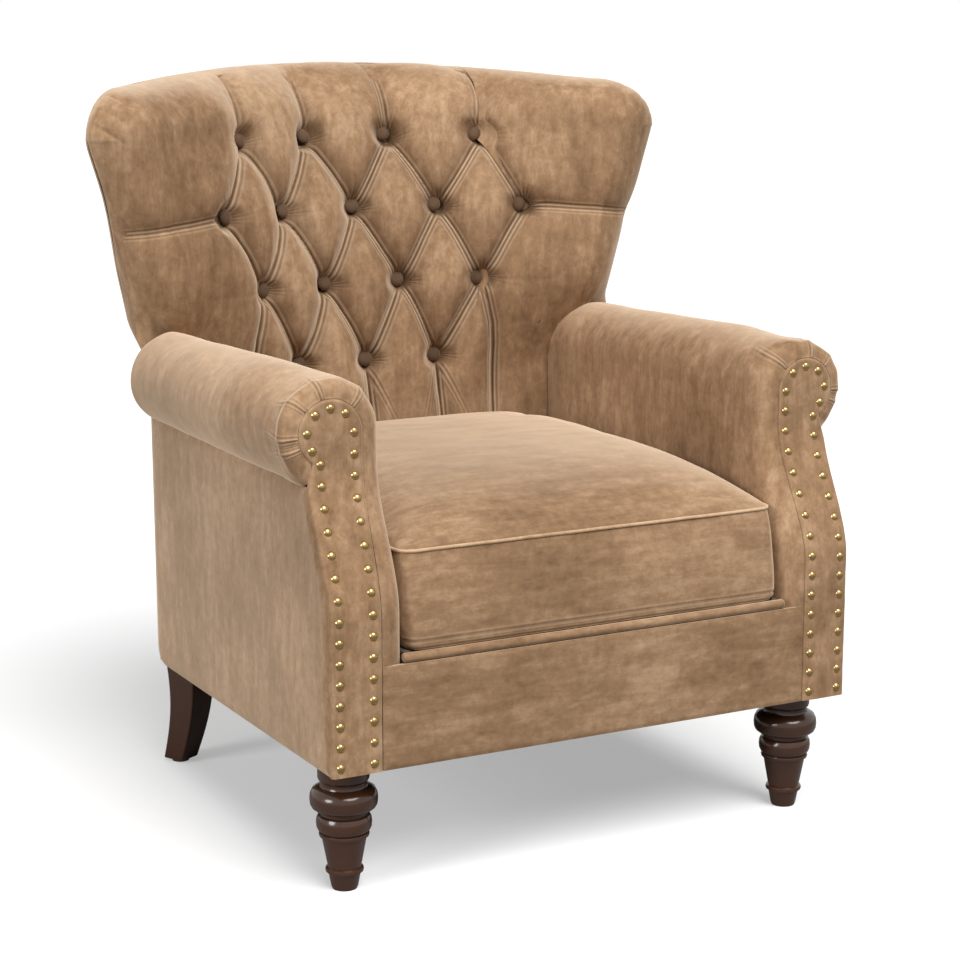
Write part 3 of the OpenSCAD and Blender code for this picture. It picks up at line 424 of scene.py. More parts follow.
def pitch(z):
    """Distance between two buttons of the row at height z."""
    return PITCH_LOW + (PITCH_TOP - PITCH_LOW) * (z - BUTTON_LOW) / (BUTTON_TOP - BUTTON_LOW)


def row_z(r):
    """Height of a row of buttons, counted from the top."""
    t = r / LAST_ROW
    return BUTTON_TOP - (BUTTON_TOP - BUTTON_LOW) * t * (1 - ROW_EASE + ROW_EASE * t)


def column_x(q, z):
    """Place of a column at height z."""
    return q * (1 - COLUMN_EASE * q * q) * pitch(np.minimum(z, BUTTON_TOP)) / 2


def button_marks():
    """Column and row of every button."""
    return [(q, n) for n, last in enumerate(LAST_Q) for q in range(-last, last + 1, 2)]


def button_place(q, r):
    """Place of a button in x and z."""
    z = row_z(r)
    return float(column_x(q, z)), float(z)


def fold_line(a, b, steps=6):
    """A straight fold from a to b as a list of points."""
    return [
        (a[0] + (b[0] - a[0]) * i / steps, a[1] + (b[1] - a[1]) * i / steps)
        for i in range(steps + 1)
    ]


FOLD_TOP_Z, FOLD_LOW_Z, TOP_FOLDS_X = OVERALL_H + 40, DECK_H - 60, (71, 208)
# Lower part of the fold between back and wing
OUTER_FOLD = [(187, 596), (191, 560), (193, FOLD_LOW_Z)]


def right_folds():
    """Folds of the right half and the middle, each with its kind."""
    at = button_place
    pairs = [
        ((1, 0), (0, 1)), ((1, 0), (2, 1)), ((3, 0), (2, 1)), ((3, 0), (4, 1)),
        ((0, 1), (1, 2)), ((2, 1), (1, 2)), ((2, 1), (3, 2)), ((4, 1), (3, 2)),
        ((1, 2), (0, 3)), ((1, 2), (2, 3)), ((3, 2), (2, 3)),
    ]
    folds = [(fold_line(at(*a), at(*b)), "pair") for a, b in pairs]
    for q, x in zip((1, 3), TOP_FOLDS_X):
        folds.append((fold_line(at(q, 0), (x, FOLD_TOP_Z)), "top"))
    folds.append(([at(3, 2)] + OUTER_FOLD, "outer"))
    for end, kind in (((113, FOLD_LOW_Z), "drop"), ((168, 415), "light"), ((60, 400), "light")):
        folds.append((fold_line(at(2, 3), end), kind))
    drops = ((262, 1), (330, 5), (375, 12), (480, 26))
    folds.append(([at(4, 1)] + [(x, row_z(1) - drop) for x, drop in drops], "wing"))
    return folds


def all_folds():
    """Folds of both halves, each with its kind."""
    folds = []
    for line, kind in right_folds():
        folds.append((line, kind))
        if max(abs(p[0]) for p in line) > 1:
            folds.append(([(-x, z) for x, z in line], kind))
    middle = button_place(0, 3)
    for end, kind in (((0, FOLD_LOW_Z), "drop"), ((55, 405), "light"), ((-55, 405), "light")):
        folds.append((fold_line(middle, end), kind))
    return folds


# Crease and valley of each kind of fold, as base, rise towards its buttons and power, and its reach
FOLD_SHAPES = {
    "pair": ((4.5, 9.0, 2.4), (20.0, 4.0, 1), 57.0),
    "top": ((3.5, 10.0, 4), (11.0, 11.0, 2), 62.0),
    "drop": ((5.0, 8.0, 8), (7.0, 14.0, 3), 50.0),
    "outer": ((4.5, 8.0, 10), (12.0, 9.0, 3), 50.0),
    "light": ((0.0, 6.0, 2), (0.0, 5.0, 2), 30.0),
    "wing": ((3.5, 9.0, 10), (6.0, 15.0, 4), 50.0),
}


def fold_shape(kind, t):
    """Crease depth, valley depth, valley reach and line strength of a kind of fold at share t."""
    close = np.abs(2 * t - 1) if kind == "pair" else 1 - t
    crease, valley, reach = FOLD_SHAPES[kind]
    depths = [base + more * close**power for base, more, power in (crease, valley)]
    lines = {
        "pair": 1 - 0.5 * close**4, "top": (1 - 0.6 * close**10) * close,
        "light": 0.45 * close, "wing": 0.8 - 0.5 * t,
    }
    return (*depths, reach, lines.get(kind, 0 * t + 0.9))


# Pillows between the folds, button pits, sharp creases, gathers, and the wander of the folds
PILLOW_RISE, LOW_PILLOW_RISE, PILLOW_RUN_OUT = 16.0, 5.0, 130
PIT_FLOOR, PIT_R, PIT_SLOPE, PIT_CURVE, PIT_BLEND = 20.5, 11.5, 1.45, 0.035, 4.0
CREASE_ROUND, CREASE_REACH, BUTTON_REACH, GATHER_TURN = 2.5, 7.0, 64, 13.5
WANDER, WANDER_SIZE, LINE_REACH = 1.6, 52, 20


def folds_at(x, z):
    """Depth of all folds together, and the offset and line strength of the nearest fold."""
    total, offset, strength = (np.zeros(np.shape(x)) for _ in range(3))
    nearest = np.full(np.shape(x), 1e9)
    for line, kind in all_folds():
        d, t, side = line_distance(x, z, line)
        crease, valley, reach, line_share = fold_shape(kind, t)
        above = side * np.sign(line[-1][0] - line[0][0])
        if kind == "pair":
            reach = reach * np.where(above > 0, 0.94, 1.06)
        sharp = crease * np.exp(-(np.hypot(d, CREASE_ROUND) - CREASE_ROUND) / CREASE_REACH)
        total = total + (sharp + valley * np.maximum(0, 1 - d / reach) ** 2) ** 3
        near = d < nearest
        nearest = np.where(near, d, nearest)
        # Positive above a sloping fold, and on the right of an upright one
        sign = above if kind in ("pair", "light", "wing") else -side
        offset = np.where(near, d * sign, offset)
        strength = np.where(near, line_share, strength)
    return np.cbrt(total), offset, strength


def gathers_at(dx, dz, number):
    """Strength and phase of the gathers above and beside a button, and the distance from it."""
    d = np.hypot(dx, dz)
    # Angle from straight up, positive to the right
    angle = np.degrees(np.arctan2(dx, dz))
    upper = bell(angle, 31.0) + 0.5 * bell(angle - 92, 20.0)
    reach = upper * np.exp(-np.maximum(0, d - 14) / 15.0) * rise(8, 13, d)
    return reach, (angle + 5 * math.sin(9.7 * number)) / GATHER_TURN, d


def tufting(x, z):
    """Outward displacement of the tufted cover, and the values that its fine pleat lines, with their
    painted shade and highlight, and the painted shade of its hollows need.
    """
    wander = stacked(x, 0 * x, z)
    wx = x + WANDER * ripple(wander, WANDER_SIZE, 3)
    wz = z + WANDER * ripple(wander, WANDER_SIZE, 4)
    depth, offset, strength = folds_at(wx, wz)
    pillow = LOW_PILLOW_RISE + (PILLOW_RISE - LOW_PILLOW_RISE) * rise(480, 600, z)
    # Away from the tufts the wing keeps its own form
    pillow = pillow * (1 - rise(0, PILLOW_RUN_OUT, np.abs(x) - fold_x(z)))
    pillow = pillow * (1 - 0.65 * rise(890, 970, z))
    out = pillow - depth
    amount = np.zeros(np.shape(x))
    phase = np.zeros(np.shape(x))
    for number, mark in enumerate(button_marks()):
        button_x, button_z = button_place(*mark)
        reach, wave, d = gathers_at(x - button_x, z - button_z, number)
        close = d < BUTTON_REACH
        amount = np.where(close, np.maximum(amount, reach), amount)
        phase = np.where(close & (reach > 0.01), wave, phase)
        out = out + np.where(close, 0.9 * reach * np.cos(2 * np.pi * wave), 0)
        past = np.maximum(0, d - PIT_R)
        pit = -PIT_FLOOR + PIT_SLOPE * past + PIT_CURVE * past**2
        eased = -PIT_BLEND * np.logaddexp(-out / PIT_BLEND, -pit / PIT_BLEND)
        out = np.where(close, eased, out)
        strength = strength * np.where(close, rise(9, 20, d), 1)
    # Share of painted shade in the deep hollows of the folds and pits
    hollow_shade = unit((pillow - out - 6) / 34)
    strength = strength * rise(15, 9, np.abs(offset))
    return out, np.clip(offset, -LINE_REACH, LINE_REACH), strength, hollow_shade, phase, amount


def fold_side(z):
    """Column (in half pitches) of the fold between the tufted back and the wing at height z."""
    r = np.interp(z, [row_z(3), row_z(2), row_z(1), row_z(0)], [3, 2, 1, 0])
    side = np.where(r < 1, 3 + r, 5 - np.minimum(r, 2))
    return np.where(z > BUTTON_TOP, 3.0, side)


def fold_x(z):
    """Place of that fold in millimetres."""
    low_x, low_z = zip(*reversed(OUTER_FOLD))
    low = np.interp(z, low_z, low_x)
    to_outer = np.interp(z, [low_z[-1], row_z(2)], [low_x[-1], button_place(3, 2)[0]])
    top = np.interp(z, [BUTTON_TOP, FOLD_TOP_Z], [button_place(3, 0)[0], TOP_FOLDS_X[1]])
    x = np.where(z > BUTTON_TOP, top, column_x(fold_side(z), z))
    return np.where(z < low_z[-1], low, np.where(z < row_z(2), to_outer, x))


# The wing spreads over the arm from the break upwards, and the frame has its room behind both pads
BACK_LOW_Z, LOW_WING_X, WING_BREAK = DECK_H + 2, 300, 600
BACK_PAD_T, WING_PAD_T, WING_BOARD_X, FRAME_ROOM = 44, 28, 338, 44.4
BACK_FLAT_SHARE, WING_FLAT_SHARE = 0.87, 0.62


def row_heights(v, x):
    """Height and roll share b for row share v: flat up to the roll, then round the top edge."""
    flat = BACK_FLAT_SHARE
    top = top_edge(x)
    z_flat = BACK_LOW_Z + (top - WING_R - BACK_LOW_Z) * np.minimum(1, v / flat)
    return z_flat, turned_share(v, flat)


def soft_folds(p, amount, seed):
    """Slow waviness of stretched cloth, in millimetres."""
    return amount * (ripple(p, (70, 70, 90), seed) + 0.45 * ripple(p, (26, 26, 34), seed + 1))


def tufted_pad(name, p, shape, lines, thick, left, frame_x, rim):
    """A pad whose front is pushed out along its normals, and whose rear keeps clear of the frame."""
    x, y, z = p[..., 0], p[..., 1], p[..., 2]
    front = p + grid_normals(p) * shape[..., None]
    limit = FRONT_Y + outside(np.maximum(np.abs(x), frame_x), z) - FRAME_ROOM
    rear_y = np.minimum(y + EDGE_T + (thick - EDGE_T) * left, limit)
    rear_y = np.maximum(np.maximum(y, front[..., 1]) + EDGE_T, rear_y)
    rear = stacked(x, rear_y, z)
    rear[rim] = front[rim] + [0, EDGE_T, 0]
    return upholstered(name, front, rear, np.stack(lines, axis=-1))


def inside_back():
    """Tufted inside back, from the deck to the roll over its top edge."""
    v, u = share_grid(300, 158)
    x = np.zeros(np.shape(v))
    for _ in range(3):
        z_flat, b = row_heights(v, x)
        z = z_flat + WING_R * b
        x = (2 * u - 1) * (fold_x(z) - 0.2)
    p = stacked(x, FRONT_Y + rolled_front(x, z, np.sqrt(1 - b**2.5)), z)
    out, *lines = tufting(x, z)
    shape = out * (1 - 0.5 * b**4) * rise(1.0, 0.985, b) + soft_folds(p, 0.8, 11)
    return tufted_pad("inside_back", p, shape, lines, BACK_PAD_T, np.sqrt(1 - b * b), 0, b >= 1)


# Short curved folds in the cloth at the wing's upper corner, in x and z
CORNER_FOLDS = [
    [(430, 948), (408, 944), (384, 928)],
    [(438, 928), (418, 922), (392, 902)],
    [(441, 908), (424, 897), (398, 878)],
]


def wing():
    """Right wing: from the fold beside the tufting, round its edge, top and corner."""
    v, t = share_grid(310, 136)
    flat = WING_FLAT_SHARE
    a = turned_share(t, flat)
    x = np.full(np.shape(t), 330.0)
    for _ in range(4):
        z_flat, b = row_heights(v, x)
        z = z_flat + WING_R * b * np.sqrt(1 - a * a / 2)
        w = np.where(z_flat < WING_BREAK, LOW_WING_X + WING_R, half_w(np.minimum(WING_TOP, z_flat)))
        w = np.where(b > 0, HALF_WING, w)
        inner = fold_x(z) + 0.2
        side = inner + (w - WING_R - inner) * np.minimum(1, t / flat)
        x = side + WING_R * a * np.sqrt(1 - b * b / 2)
    left = np.where(z_flat < WING_BREAK, 1.0, np.sqrt((1 - a**2.5) * (1 - b**2.5)))
    p = stacked(x, FRONT_Y + rolled_front(x, z, left), z)
    edge = 1 - (1 - a * a) * (1 - b * b)
    out, *lines = tufting(x, z)
    shape = out * (1 - 0.7 * edge**2) * rise(1.0, 0.97, edge) + soft_folds(p, 1.0, 21)
    for line in CORNER_FOLDS:
        d, share, _ = line_distance(x, z, line)
        fade = np.sin(np.pi * unit(share)) ** 0.7 * (1 - edge**8)
        shape = shape - 3.0 * fade * np.exp(-d / 3.6) + 1.2 * fade * bell(d, 12)
    rim = (a >= 1) | (b >= 1)
    return tufted_pad("right_wing", p, shape, lines, WING_PAD_T, left, WING_BOARD_X, rim)


def outside_back():
    """Smooth cover of the outside back, one board and cloth thick."""
    v, u = share_grid(70, 90)
    s = np.sin(np.radians(90 * (2 * u - 1)))
    z_side = LEG_H + (WING_TOP - LEG_H) * v
    x = (half_w(z_side) - (PANEL_T + GAP) * rise(565, 520, z_side)) * s
    x_top = HALF_WING * s
    e = np.maximum(0, np.abs(x_top) - (HALF_WING - WING_R))
    top = top_edge(x_top) - WING_R + arc_height(WING_R, e)
    f = np.maximum(0, np.abs(x) - (HALF_BODY - PANEL_T - GAP - LOW_CORNER))
    low = LEG_H + LOW_CORNER - arc_height(LOW_CORNER, f)
    z = low + (top - low) * v
    y = FRONT_Y + outside(x, np.minimum(z, OVERALL_H))
    p = stacked(x, y, z)
    rear = pushed(p, 1, soft_folds(p, 0.5, 31) * (1 - np.abs(s) ** 6))
    return upholstered("outside_back", pushed(p, 1, -PANEL_T), rear)


# Arms


def sweep_y(z):
    """Depth of the swept front of the arm at height z."""
    return FRONT_Y + SWEEP * rise(SWEEP_LO, SWEEP_HI, z)


ARM_LOW_Z, ARM_ROUND, ARM_STRAIGHT, ARM_ROUND_SHARE, ARM_REAR_ROOM = 262, 28, 0.47, 0.12, 6
GATHER_R, GATHER_DEPTH, HEAD_FULLNESS = 58, 1.6, 8.5
# Turn round the roll, in degrees, and strength of each gather behind the facing
ARM_GATHERS = [(-24, 0.7), (-2, 0.9), (40, 0.7), (80, 1.0), (133, 0.9)]


def arm_section(a, s, inset, inner):
    """Point of the hook section of the arm at share a of its way round, s of its length."""
    z0 = ROLL_H - ROLL_DROP * s
    radius = np.full(np.shape(a), float(CORE_R)) if inner else ROLL_R + (ROLL_REAR_R - ROLL_R) * s
    reach = ROLL_IN - PANEL_T - GAP if inner else ROLL_IN
    end = -np.degrees(np.arccos(reach / radius))
    turn = unit((a - ARM_STRAIGHT) / (1 - ARM_STRAIGHT))
    angle = 180 + (end - 180) * turn
    low = ARM_LOW_Z + (DECK_H - ARM_LOW_Z) * np.minimum(1, 1.25 * s)
    z_line = low + (z0 - low) * np.minimum(1, a / ARM_STRAIGHT)
    low_turn = np.radians(np.clip(angle, -80, 0))
    head = np.maximum(HEAD_R, (ROLL_IN - NECK_CUT) / np.cos(low_turn))
    band = np.where(turn > 0, ROLL_R - head, facing_sides(z_line)[0] - AXIS_X + ROLL_R) - GAP
    drawn = inset * band
    r = radius if inner else radius - drawn
    if inner:
        r = np.where(turn > 0, r, np.minimum(r, AXIS_X - facing_sides(z_line)[0]))
        # The last row closes the rear end of the roll
        r = np.where((turn > 0) & (s > 0.9999), 3.0, r)
    rad = np.radians(angle)
    x = np.where(turn > 0, AXIS_X + r * np.cos(rad), AXIS_X - r)
    z = np.where(turn > 0, z0 + r * np.sin(rad), z_line)
    return x, z, angle


def arm_rear_y(x, z):
    """Depth at which the arm meets the wing and the outside back."""
    wing_x = np.minimum(x, half_w(z))
    round_share = np.maximum(0, wing_x - (half_w(z) - WING_R)) / WING_R
    plain = rolled_front(wing_x, z, np.sqrt(unit(1 - round_share**2)))
    low_rear = CORNER_D - PANEL_T - ARM_REAR_ROOM
    cap = WING_LOW_D + (low_rear - WING_LOW_D) * rise(AXIS_X - ROLL_R, HALF_BODY, x)
    return FRONT_Y + np.minimum(plain - 1, cap)


def arm_cover():
    """Right arm: the cloth over the roll, gathered round the head of the facing."""
    b, a = share_grid(210, 190)
    phi = np.radians(90 * unit(b / ARM_ROUND_SHARE))
    s = unit((b - ARM_ROUND_SHARE) / (1 - ARM_ROUND_SHARE))
    faces = []
    for inner in (False, True):
        inset = 0 if inner else 1 - np.sin(phi)
        x, z, _ = arm_section(a, s, inset, inner)
        y0 = sweep_y(z) + 1.6 + (FACING_T - 1.0) * inner * (1 - np.sin(phi))
        y1 = y0 + ARM_ROUND * (1 - np.cos(phi))
        y = y1 + (arm_rear_y(x, z) - y1) * s
        faces.append(stacked(x, y, z))
    p = faces[0]
    back = p[..., 1] - (sweep_y(p[..., 2]) + FACING_T)
    shape = soft_folds(p, 0.9, 41) * rise(0, 40, back)
    _, _, angle = arm_section(a, s, 0, False)
    offset = np.full(np.shape(shape), float(LINE_REACH))
    strength = np.zeros(np.shape(shape))
    for place, share in ARM_GATHERS:
        bent = place + 3 * np.sin(back / 17 + place)
        d = np.radians(angle - bent) * GATHER_R
        fade = (1 - rise(12, 24 + 38 * share, back)) * share
        shape = shape - GATHER_DEPTH * fade * np.exp(-np.abs(d) / (1.6 + back / 30))
        shape = shape + GATHER_DEPTH * fade * bell(np.abs(d) - 12, 9)
        near = np.abs(d) < np.abs(offset)
        offset = np.where(near, d, offset)
        strength = np.where(near, 0.5 * fade, strength)
    full = rise(150, 50, angle) * rise(-64, -25, angle) * (1 - rise(24, 190, back))
    shape = shape + HEAD_FULLNESS * full * rise(0, 20, back)
    shape = shape * rise(0, 0.04, s + phi)
    strength = strength * rise(11, 6, np.abs(offset))
    front = p - grid_normals(p) * shape[..., None]
    # Pleat values of the gathers: a bump, with painted shade in its grooves and a painted highlight on its
    # ridges
    lines = [np.clip(offset, -LINE_REACH, LINE_REACH), strength] + 3 * [0 * shape]
    return upholstered("right_arm", front, faces[1], np.stack(lines, axis=-1))


def facing_sides(z):
    """Inner and outer edge of the arm facing at height z, below the middle of its head."""
    k = rise(SWEEP_LO, SWEEP_HI, z)
    inner = FACING_IN_X + (AXIS_X - HEAD_R - FACING_IN_X) * k
    outer = HALF_BODY - NECK_CUT * k * rise(498, 532, z)
    head = AXIS_X + arc_height(HEAD_R, ROLL_H - z)
    outer = np.where(z > ROLL_H - HEAD_R, np.maximum(outer, head), outer)
    return inner, outer


def nail_places():
    """Middles of the nails of the right facing in x and z."""
    low, r = LEG_H + NAIL_IN, HEAD_R - NAIL_IN
    places = []
    inner_n = int((ROLL_H - low) // NAIL_PITCH)
    for i in range(inner_n + 1):
        z = ROLL_H - (ROLL_H - low) * i / inner_n
        places.append((float(facing_sides(z)[0]) + NAIL_IN, z))
    end = math.degrees(math.asin((HALF_BODY - NAIL_IN - NECK_CUT - AXIS_X) / r)) + 90
    top = ROLL_H - r * math.sin(math.radians(end - 90)) - 0.9 * NAIL_PITCH
    outer_n = int((top - low) // NAIL_PITCH)
    for i in range(outer_n + 1):
        z = low + (top - low) * i / outer_n
        x = HALF_BODY - NAIL_IN - NECK_CUT * float(rise(SWEEP_LO, SWEEP_HI, z))
        places.append((x, z))
    for turn in HEAD_NAIL_TURNS:
        angle = math.radians(turn)
        places.append((AXIS_X + r * math.cos(angle), ROLL_H + r * math.sin(angle)))
    return places


def facing():
    """Right arm facing: a padded board with soft edges and a dimple under each nail."""
    v, u = share_grid(230, 44)
    head = 0.86
    b = turned_share(v, head)
    z = LEG_H + (ROLL_H - LEG_H) * np.minimum(1, v / head)
    inner, outer = facing_sides(z)
    s = crowded(2 * u - 1)
    x = (inner + outer) / 2 + (outer - inner) / 2 * s
    x = np.where(b > 0, AXIS_X + HEAD_R * s * np.sqrt(1 - b * b / 2), x)
    z = np.where(b > 0, ROLL_H + HEAD_R * b * np.sqrt(1 - s * s / 2), z)
    y = sweep_y(z)
    rim = np.where(b > 0, (1 - s * s) * (1 - b * b), 1 - s * s)
    inset = 1 - np.sqrt(unit(rim))
    soft = 3.2 * rise(0.55, 1.0, inset)
    p = stacked(x, y, z)
    for nx, nz in nail_places():
        soft = soft + 1.7 * bell(np.hypot(x - nx, z - nz), 8)
    soft = soft - 1.0 * unit(rim) ** 0.5 + 0.5 * ripple(p, 22, 51)
    return upholstered("right_facing", pushed(p, 1, soft), pushed(p, 1, FACING_T))


def outside_arm():
    """Right outside arm: cloth over a board, under the roll, round at its lower rear corner."""
    v, u = share_grid(120, 150)
    top_f = ROLL_H - arc_height(ROLL_R, ROLL_IN) - GAP
    top_r = ROLL_H - ROLL_DROP - arc_height(ROLL_REAR_R, ROLL_IN) - GAP
    rear = FRONT_Y + CORNER_D - PANEL_T - 2 * GAP
    top = top_f + (top_r - top_f) * u
    z = LEG_H + (top - LEG_H) * v
    start = sweep_y(z) + FACING_T + GAP
    low = np.maximum(0, LOW_CORNER - (z - LEG_H))
    end = rear - LOW_CORNER + arc_height(LOW_CORNER, low)
    y = start + (end - start) * u
    p = stacked(HALF_BODY, y, z)
    edge = from_edge(u, v, 560, 340)
    puff = 1.6 * rise(0, 14, edge) - 1.2 * rise(5, 0, edge)
    puff = puff + soft_folds(p, 0.8, 61) * rise(0, 30, edge)
    return upholstered("right_outside_arm_cover", pushed(p, 0, puff), pushed(p, 0, -PANEL_T))


# Seat


def front_border():
    """Flat panel between the two facings, over the front rail."""
    v, u = share_grid(60, 220)
    top = DECK_H - 2 * LIP_R - 2 * GAP
    z = LEG_H + (top - LEG_H) * v
    x = (FACING_IN_X - GAP) * (2 * u - 1)
    p = stacked(x, FRONT_Y, z)
    edge = from_edge(u, v, 610, 128)
    puff = 1.2 * rise(5, 0, edge) - 0.5 * rise(0, 20, edge) + 0.35 * soft_folds(p, 1.0, 71)
    return upholstered("front_border_cover", pushed(p, 1, puff), pushed(p, 1, PANEL_T))


def deck_lip():
    """Stuffed roll between the border and the cushion, with closed round ends."""
    bpy.ops.mesh.primitive_cylinder_add(vertices=32, radius=LIP_R * MM, depth=2 * LIP_HALF * MM)
    obj = named("deck_lip_roll")
    bpy.ops.object.mode_set(mode="EDIT")
    bpy.ops.mesh.select_all(action="DESELECT")
    bpy.ops.mesh.select_mode(type="FACE")
    bpy.ops.object.mode_set(mode="OBJECT")
    for f in obj.data.polygons:
        f.select = abs(f.normal.z) > 0.9
    bpy.ops.object.mode_set(mode="EDIT")
    bpy.ops.mesh.bevel(offset=4 * MM, segments=4, affect="EDGES")
    bpy.ops.object.mode_set(mode="OBJECT")
    obj.rotation_euler = (0, math.pi / 2, 0)
    obj.location = (0, (FRONT_Y + LIP_R) * MM, (DECK_H - GAP - LIP_R) * MM)
    freeze(obj)
    return finished(obj, 60)


# The cushion's plan and lean, its seams, crown and welt, and how far and how long pressure puffs it
CUSHION_HALF, CUSHION_D, CUSHION_LEAN, BOXING = 269.3, 616.0, 20.0, 118.0
CUSHION_FRONT, SEAM_Z, PLAN_R = FRONT_Y + 2, DECK_H + BOXING, 20.0
CROWN_H, LOW_SEAM, WELT_R, PUFF_CAP, PUFF_FRAMES = 59, 9, 2.1, 9.0, 20


def crown(across, along):
    """Height of the crowned top over its seam, at shares -1 to 1 across and 0 to 1 back."""
    side = np.sqrt(unit(1 - np.abs(across) ** 6))
    front = unit(1 - (1 - along) ** 6.5) ** 0.75
    return CROWN_H * side * front * (1 - along**6 / 4) * np.sqrt(unit((1 - along) / 0.03))


def cushion_form(p):
    """Points of the cushion for points of a cube from -1 to 1, with its rim mark and height share."""
    a, b, c = p[:, 0], p[:, 1], p[:, 2]
    a, b = crowded(a), crowded(b)
    corner_a, corner_b = PLAN_R / CUSHION_HALF, 2 * PLAN_R / CUSHION_D
    pa = unit((np.abs(a) - 1 + corner_a) / corner_a)
    pb = unit((np.abs(b) - 1 + corner_b) / corner_b)
    ax = np.sign(a) * (np.minimum(np.abs(a), 1 - corner_a) + corner_a * pa * np.sqrt(1 - pb * pb / 2))
    bx = np.sign(b) * (np.minimum(np.abs(b), 1 - corner_b) + corner_b * pb * np.sqrt(1 - pa * pa / 2))
    t = unit((c + 1) / 2)
    rim = np.maximum(np.abs(a), np.abs(b)) > 0.999
    swell = 3.0 * (1 - np.abs(2 * t - 1) ** 2.6) - 2.0
    swell = swell - 1.3 * bell(t * BOXING - LOW_SEAM, 1.8) - 3.0 * rise(7, 0, t * BOXING)
    out = np.where(rim, swell, -2.0)
    low_y = CUSHION_FRONT + CUSHION_LEAN * t - out
    high_y = CUSHION_FRONT + CUSHION_D + out
    x = ax * (CUSHION_HALF + np.minimum(out, 0.8))
    y = (low_y + high_y) / 2 + bx * (high_y - low_y) / 2
    top = c > 0.999
    z = DECK_H + BOXING * t + 0.6 * (1 - t)
    along = unit((y - CUSHION_FRONT - CUSHION_LEAN) / (CUSHION_D - CUSHION_LEAN))
    z = z + np.where(top, crown(ax, along), 0)
    q = stacked(x, y, z)
    slow = 1.3 * ripple(q, (90, 70, 60), 81) + 0.5 * ripple(q, (30, 24, 30), 82)
    inside = unit(1 - np.maximum(np.abs(ax), np.abs(bx)) ** 8)
    z = z + np.where(top, slow * inside, 0)
    x = x + np.where(rim, 0.5 * ripple(q, 50, 83) * np.sign(a) * (np.abs(a) > 0.99), 0)
    y = y + np.where(rim, 0.9 * ripple(q, (70, 70, 40), 84) * (np.abs(b) > 0.99), 0)
    return stacked(x, y, z), rim, t


def split_faces(obj, levels):
    """Splits the faces evenly, as many times as there are levels."""
    split = obj.modifiers.new("split", "SUBSURF")
    split.subdivision_type = "SIMPLE"
    split.levels = split.render_levels = levels
    apply_modifiers(obj)


def puffed(obj, held):
    """Lets pressure puff a closed cloth whose held points stay put; gives how far each point moved."""
    pins = obj.vertex_groups.new(name="pins")
    pins.add([int(i) for i in np.nonzero(held)[0]], 1.0, "ADD")
    start = get_points(obj)
    cloth = obj.modifiers.new("cloth", "CLOTH")
    cloth.settings.quality = 6
    cloth.settings.mass = 0.3
    cloth.settings.tension_stiffness = cloth.settings.compression_stiffness = 12
    cloth.settings.bending_stiffness = 2.0
    cloth.settings.vertex_group_mass = "pins"
    cloth.settings.use_pressure = True
    cloth.settings.uniform_pressure_force = 4
    cloth.settings.effector_weights.gravity = 0
    cloth.point_cache.frame_start, cloth.point_cache.frame_end = 1, PUFF_FRAMES
    scene = bpy.context.scene
    for number in range(1, PUFF_FRAMES + 1):
        scene.frame_set(number)
    apply_modifiers(obj)
    scene.frame_set(1)
    obj.vertex_groups.clear()
    moved = (get_points(obj) - start) / MM
    far = np.linalg.norm(moved, axis=1, keepdims=True)
    return moved * np.minimum(1, PUFF_CAP / np.maximum(far, 1e-6))


def cushion():
    """Loose cushion: crowned top and boxing puffed by pressure between seams that hold."""
    bpy.ops.mesh.primitive_cube_add(size=2)
    obj = named("seat_cushion")
    split_faces(obj, 5)
    cube = get_points(obj)
    moved = np.zeros(np.shape(cube))
    points, rim, t = cushion_form(cube)
    held = (rim & ((t > 0.97) | (t < 0.09))) | (cube[:, 2] < -0.999)
    set_points(obj, points * MM)
    moved = puffed(obj, held)
    set_points(obj, cube)
    add_attribute(obj, "puff", moved)
    split_faces(obj, 2)
    cube = get_points(obj)
    flat = np.empty(len(cube) * 3, dtype=np.float32)
    obj.data.attributes["puff"].data.foreach_get("vector", flat)
    obj.data.attributes.remove(obj.data.attributes["puff"])
    points, rim, t = cushion_form(cube)
    points = points + flat.reshape(-1, 3) * [1.0, 0.5, 0.6]
    limit = CUSHION_HALF + 1.2
    points[:, 0] = np.clip(points[:, 0], -limit, limit)
    points[:, 1] = np.minimum(points[:, 1], CUSHION_FRONT + CUSHION_D + 0.2)
    set_points(obj, points * MM)
    # The lower seam's line: a bump, with painted shade in its grooves and a painted highlight on its ridges
    seam = np.clip(np.where(rim, t * BOXING - LOW_SEAM, LINE_REACH), -LINE_REACH, LINE_REACH)
    add_attribute(obj, "pleat", stacked(seam, np.where(rim, 0.4, 0), 0 * seam))
    add_attribute(obj, "gather", 0 * points)
    return finished(obj, 60)


def seam_path(share, half_x, y0, y1, r):
    """Point and outward direction at a share of the way round a rounded rectangle."""
    sx, sy = half_x - r, (y1 - y0) / 2 - r
    middle = (y0 + y1) / 2
    arc = math.pi / 2 * r
    lengths = [2 * sy, arc, 2 * sx, arc, 2 * sy, arc, 2 * sx, arc]
    starts = np.concatenate([[0], np.cumsum(lengths)])
    s = np.asarray(share) % 1 * starts[-1]
    k = np.clip(np.searchsorted(starts, s, side="right") - 1, 0, 7)
    d = s - starts[k]
    corners = np.array([(sx, sy), (-sx, sy), (-sx, -sy), (sx, -sy)])
    turn = np.where(k % 2 == 1, d / r, 0) + k // 2 * math.pi / 2
    nx, ny = np.cos(turn), np.sin(turn)
    start = corners[(k // 2 + 3) % 4]
    corner = corners[(k // 2) % 4]
    on_arc = k % 2 == 1
    x = np.where(on_arc, corner[:, 0], start[:, 0] - ny * d) + nx * r
    y = np.where(on_arc, corner[:, 1], start[:, 1] + nx * d) + ny * r
    return x, y + middle, nx, ny


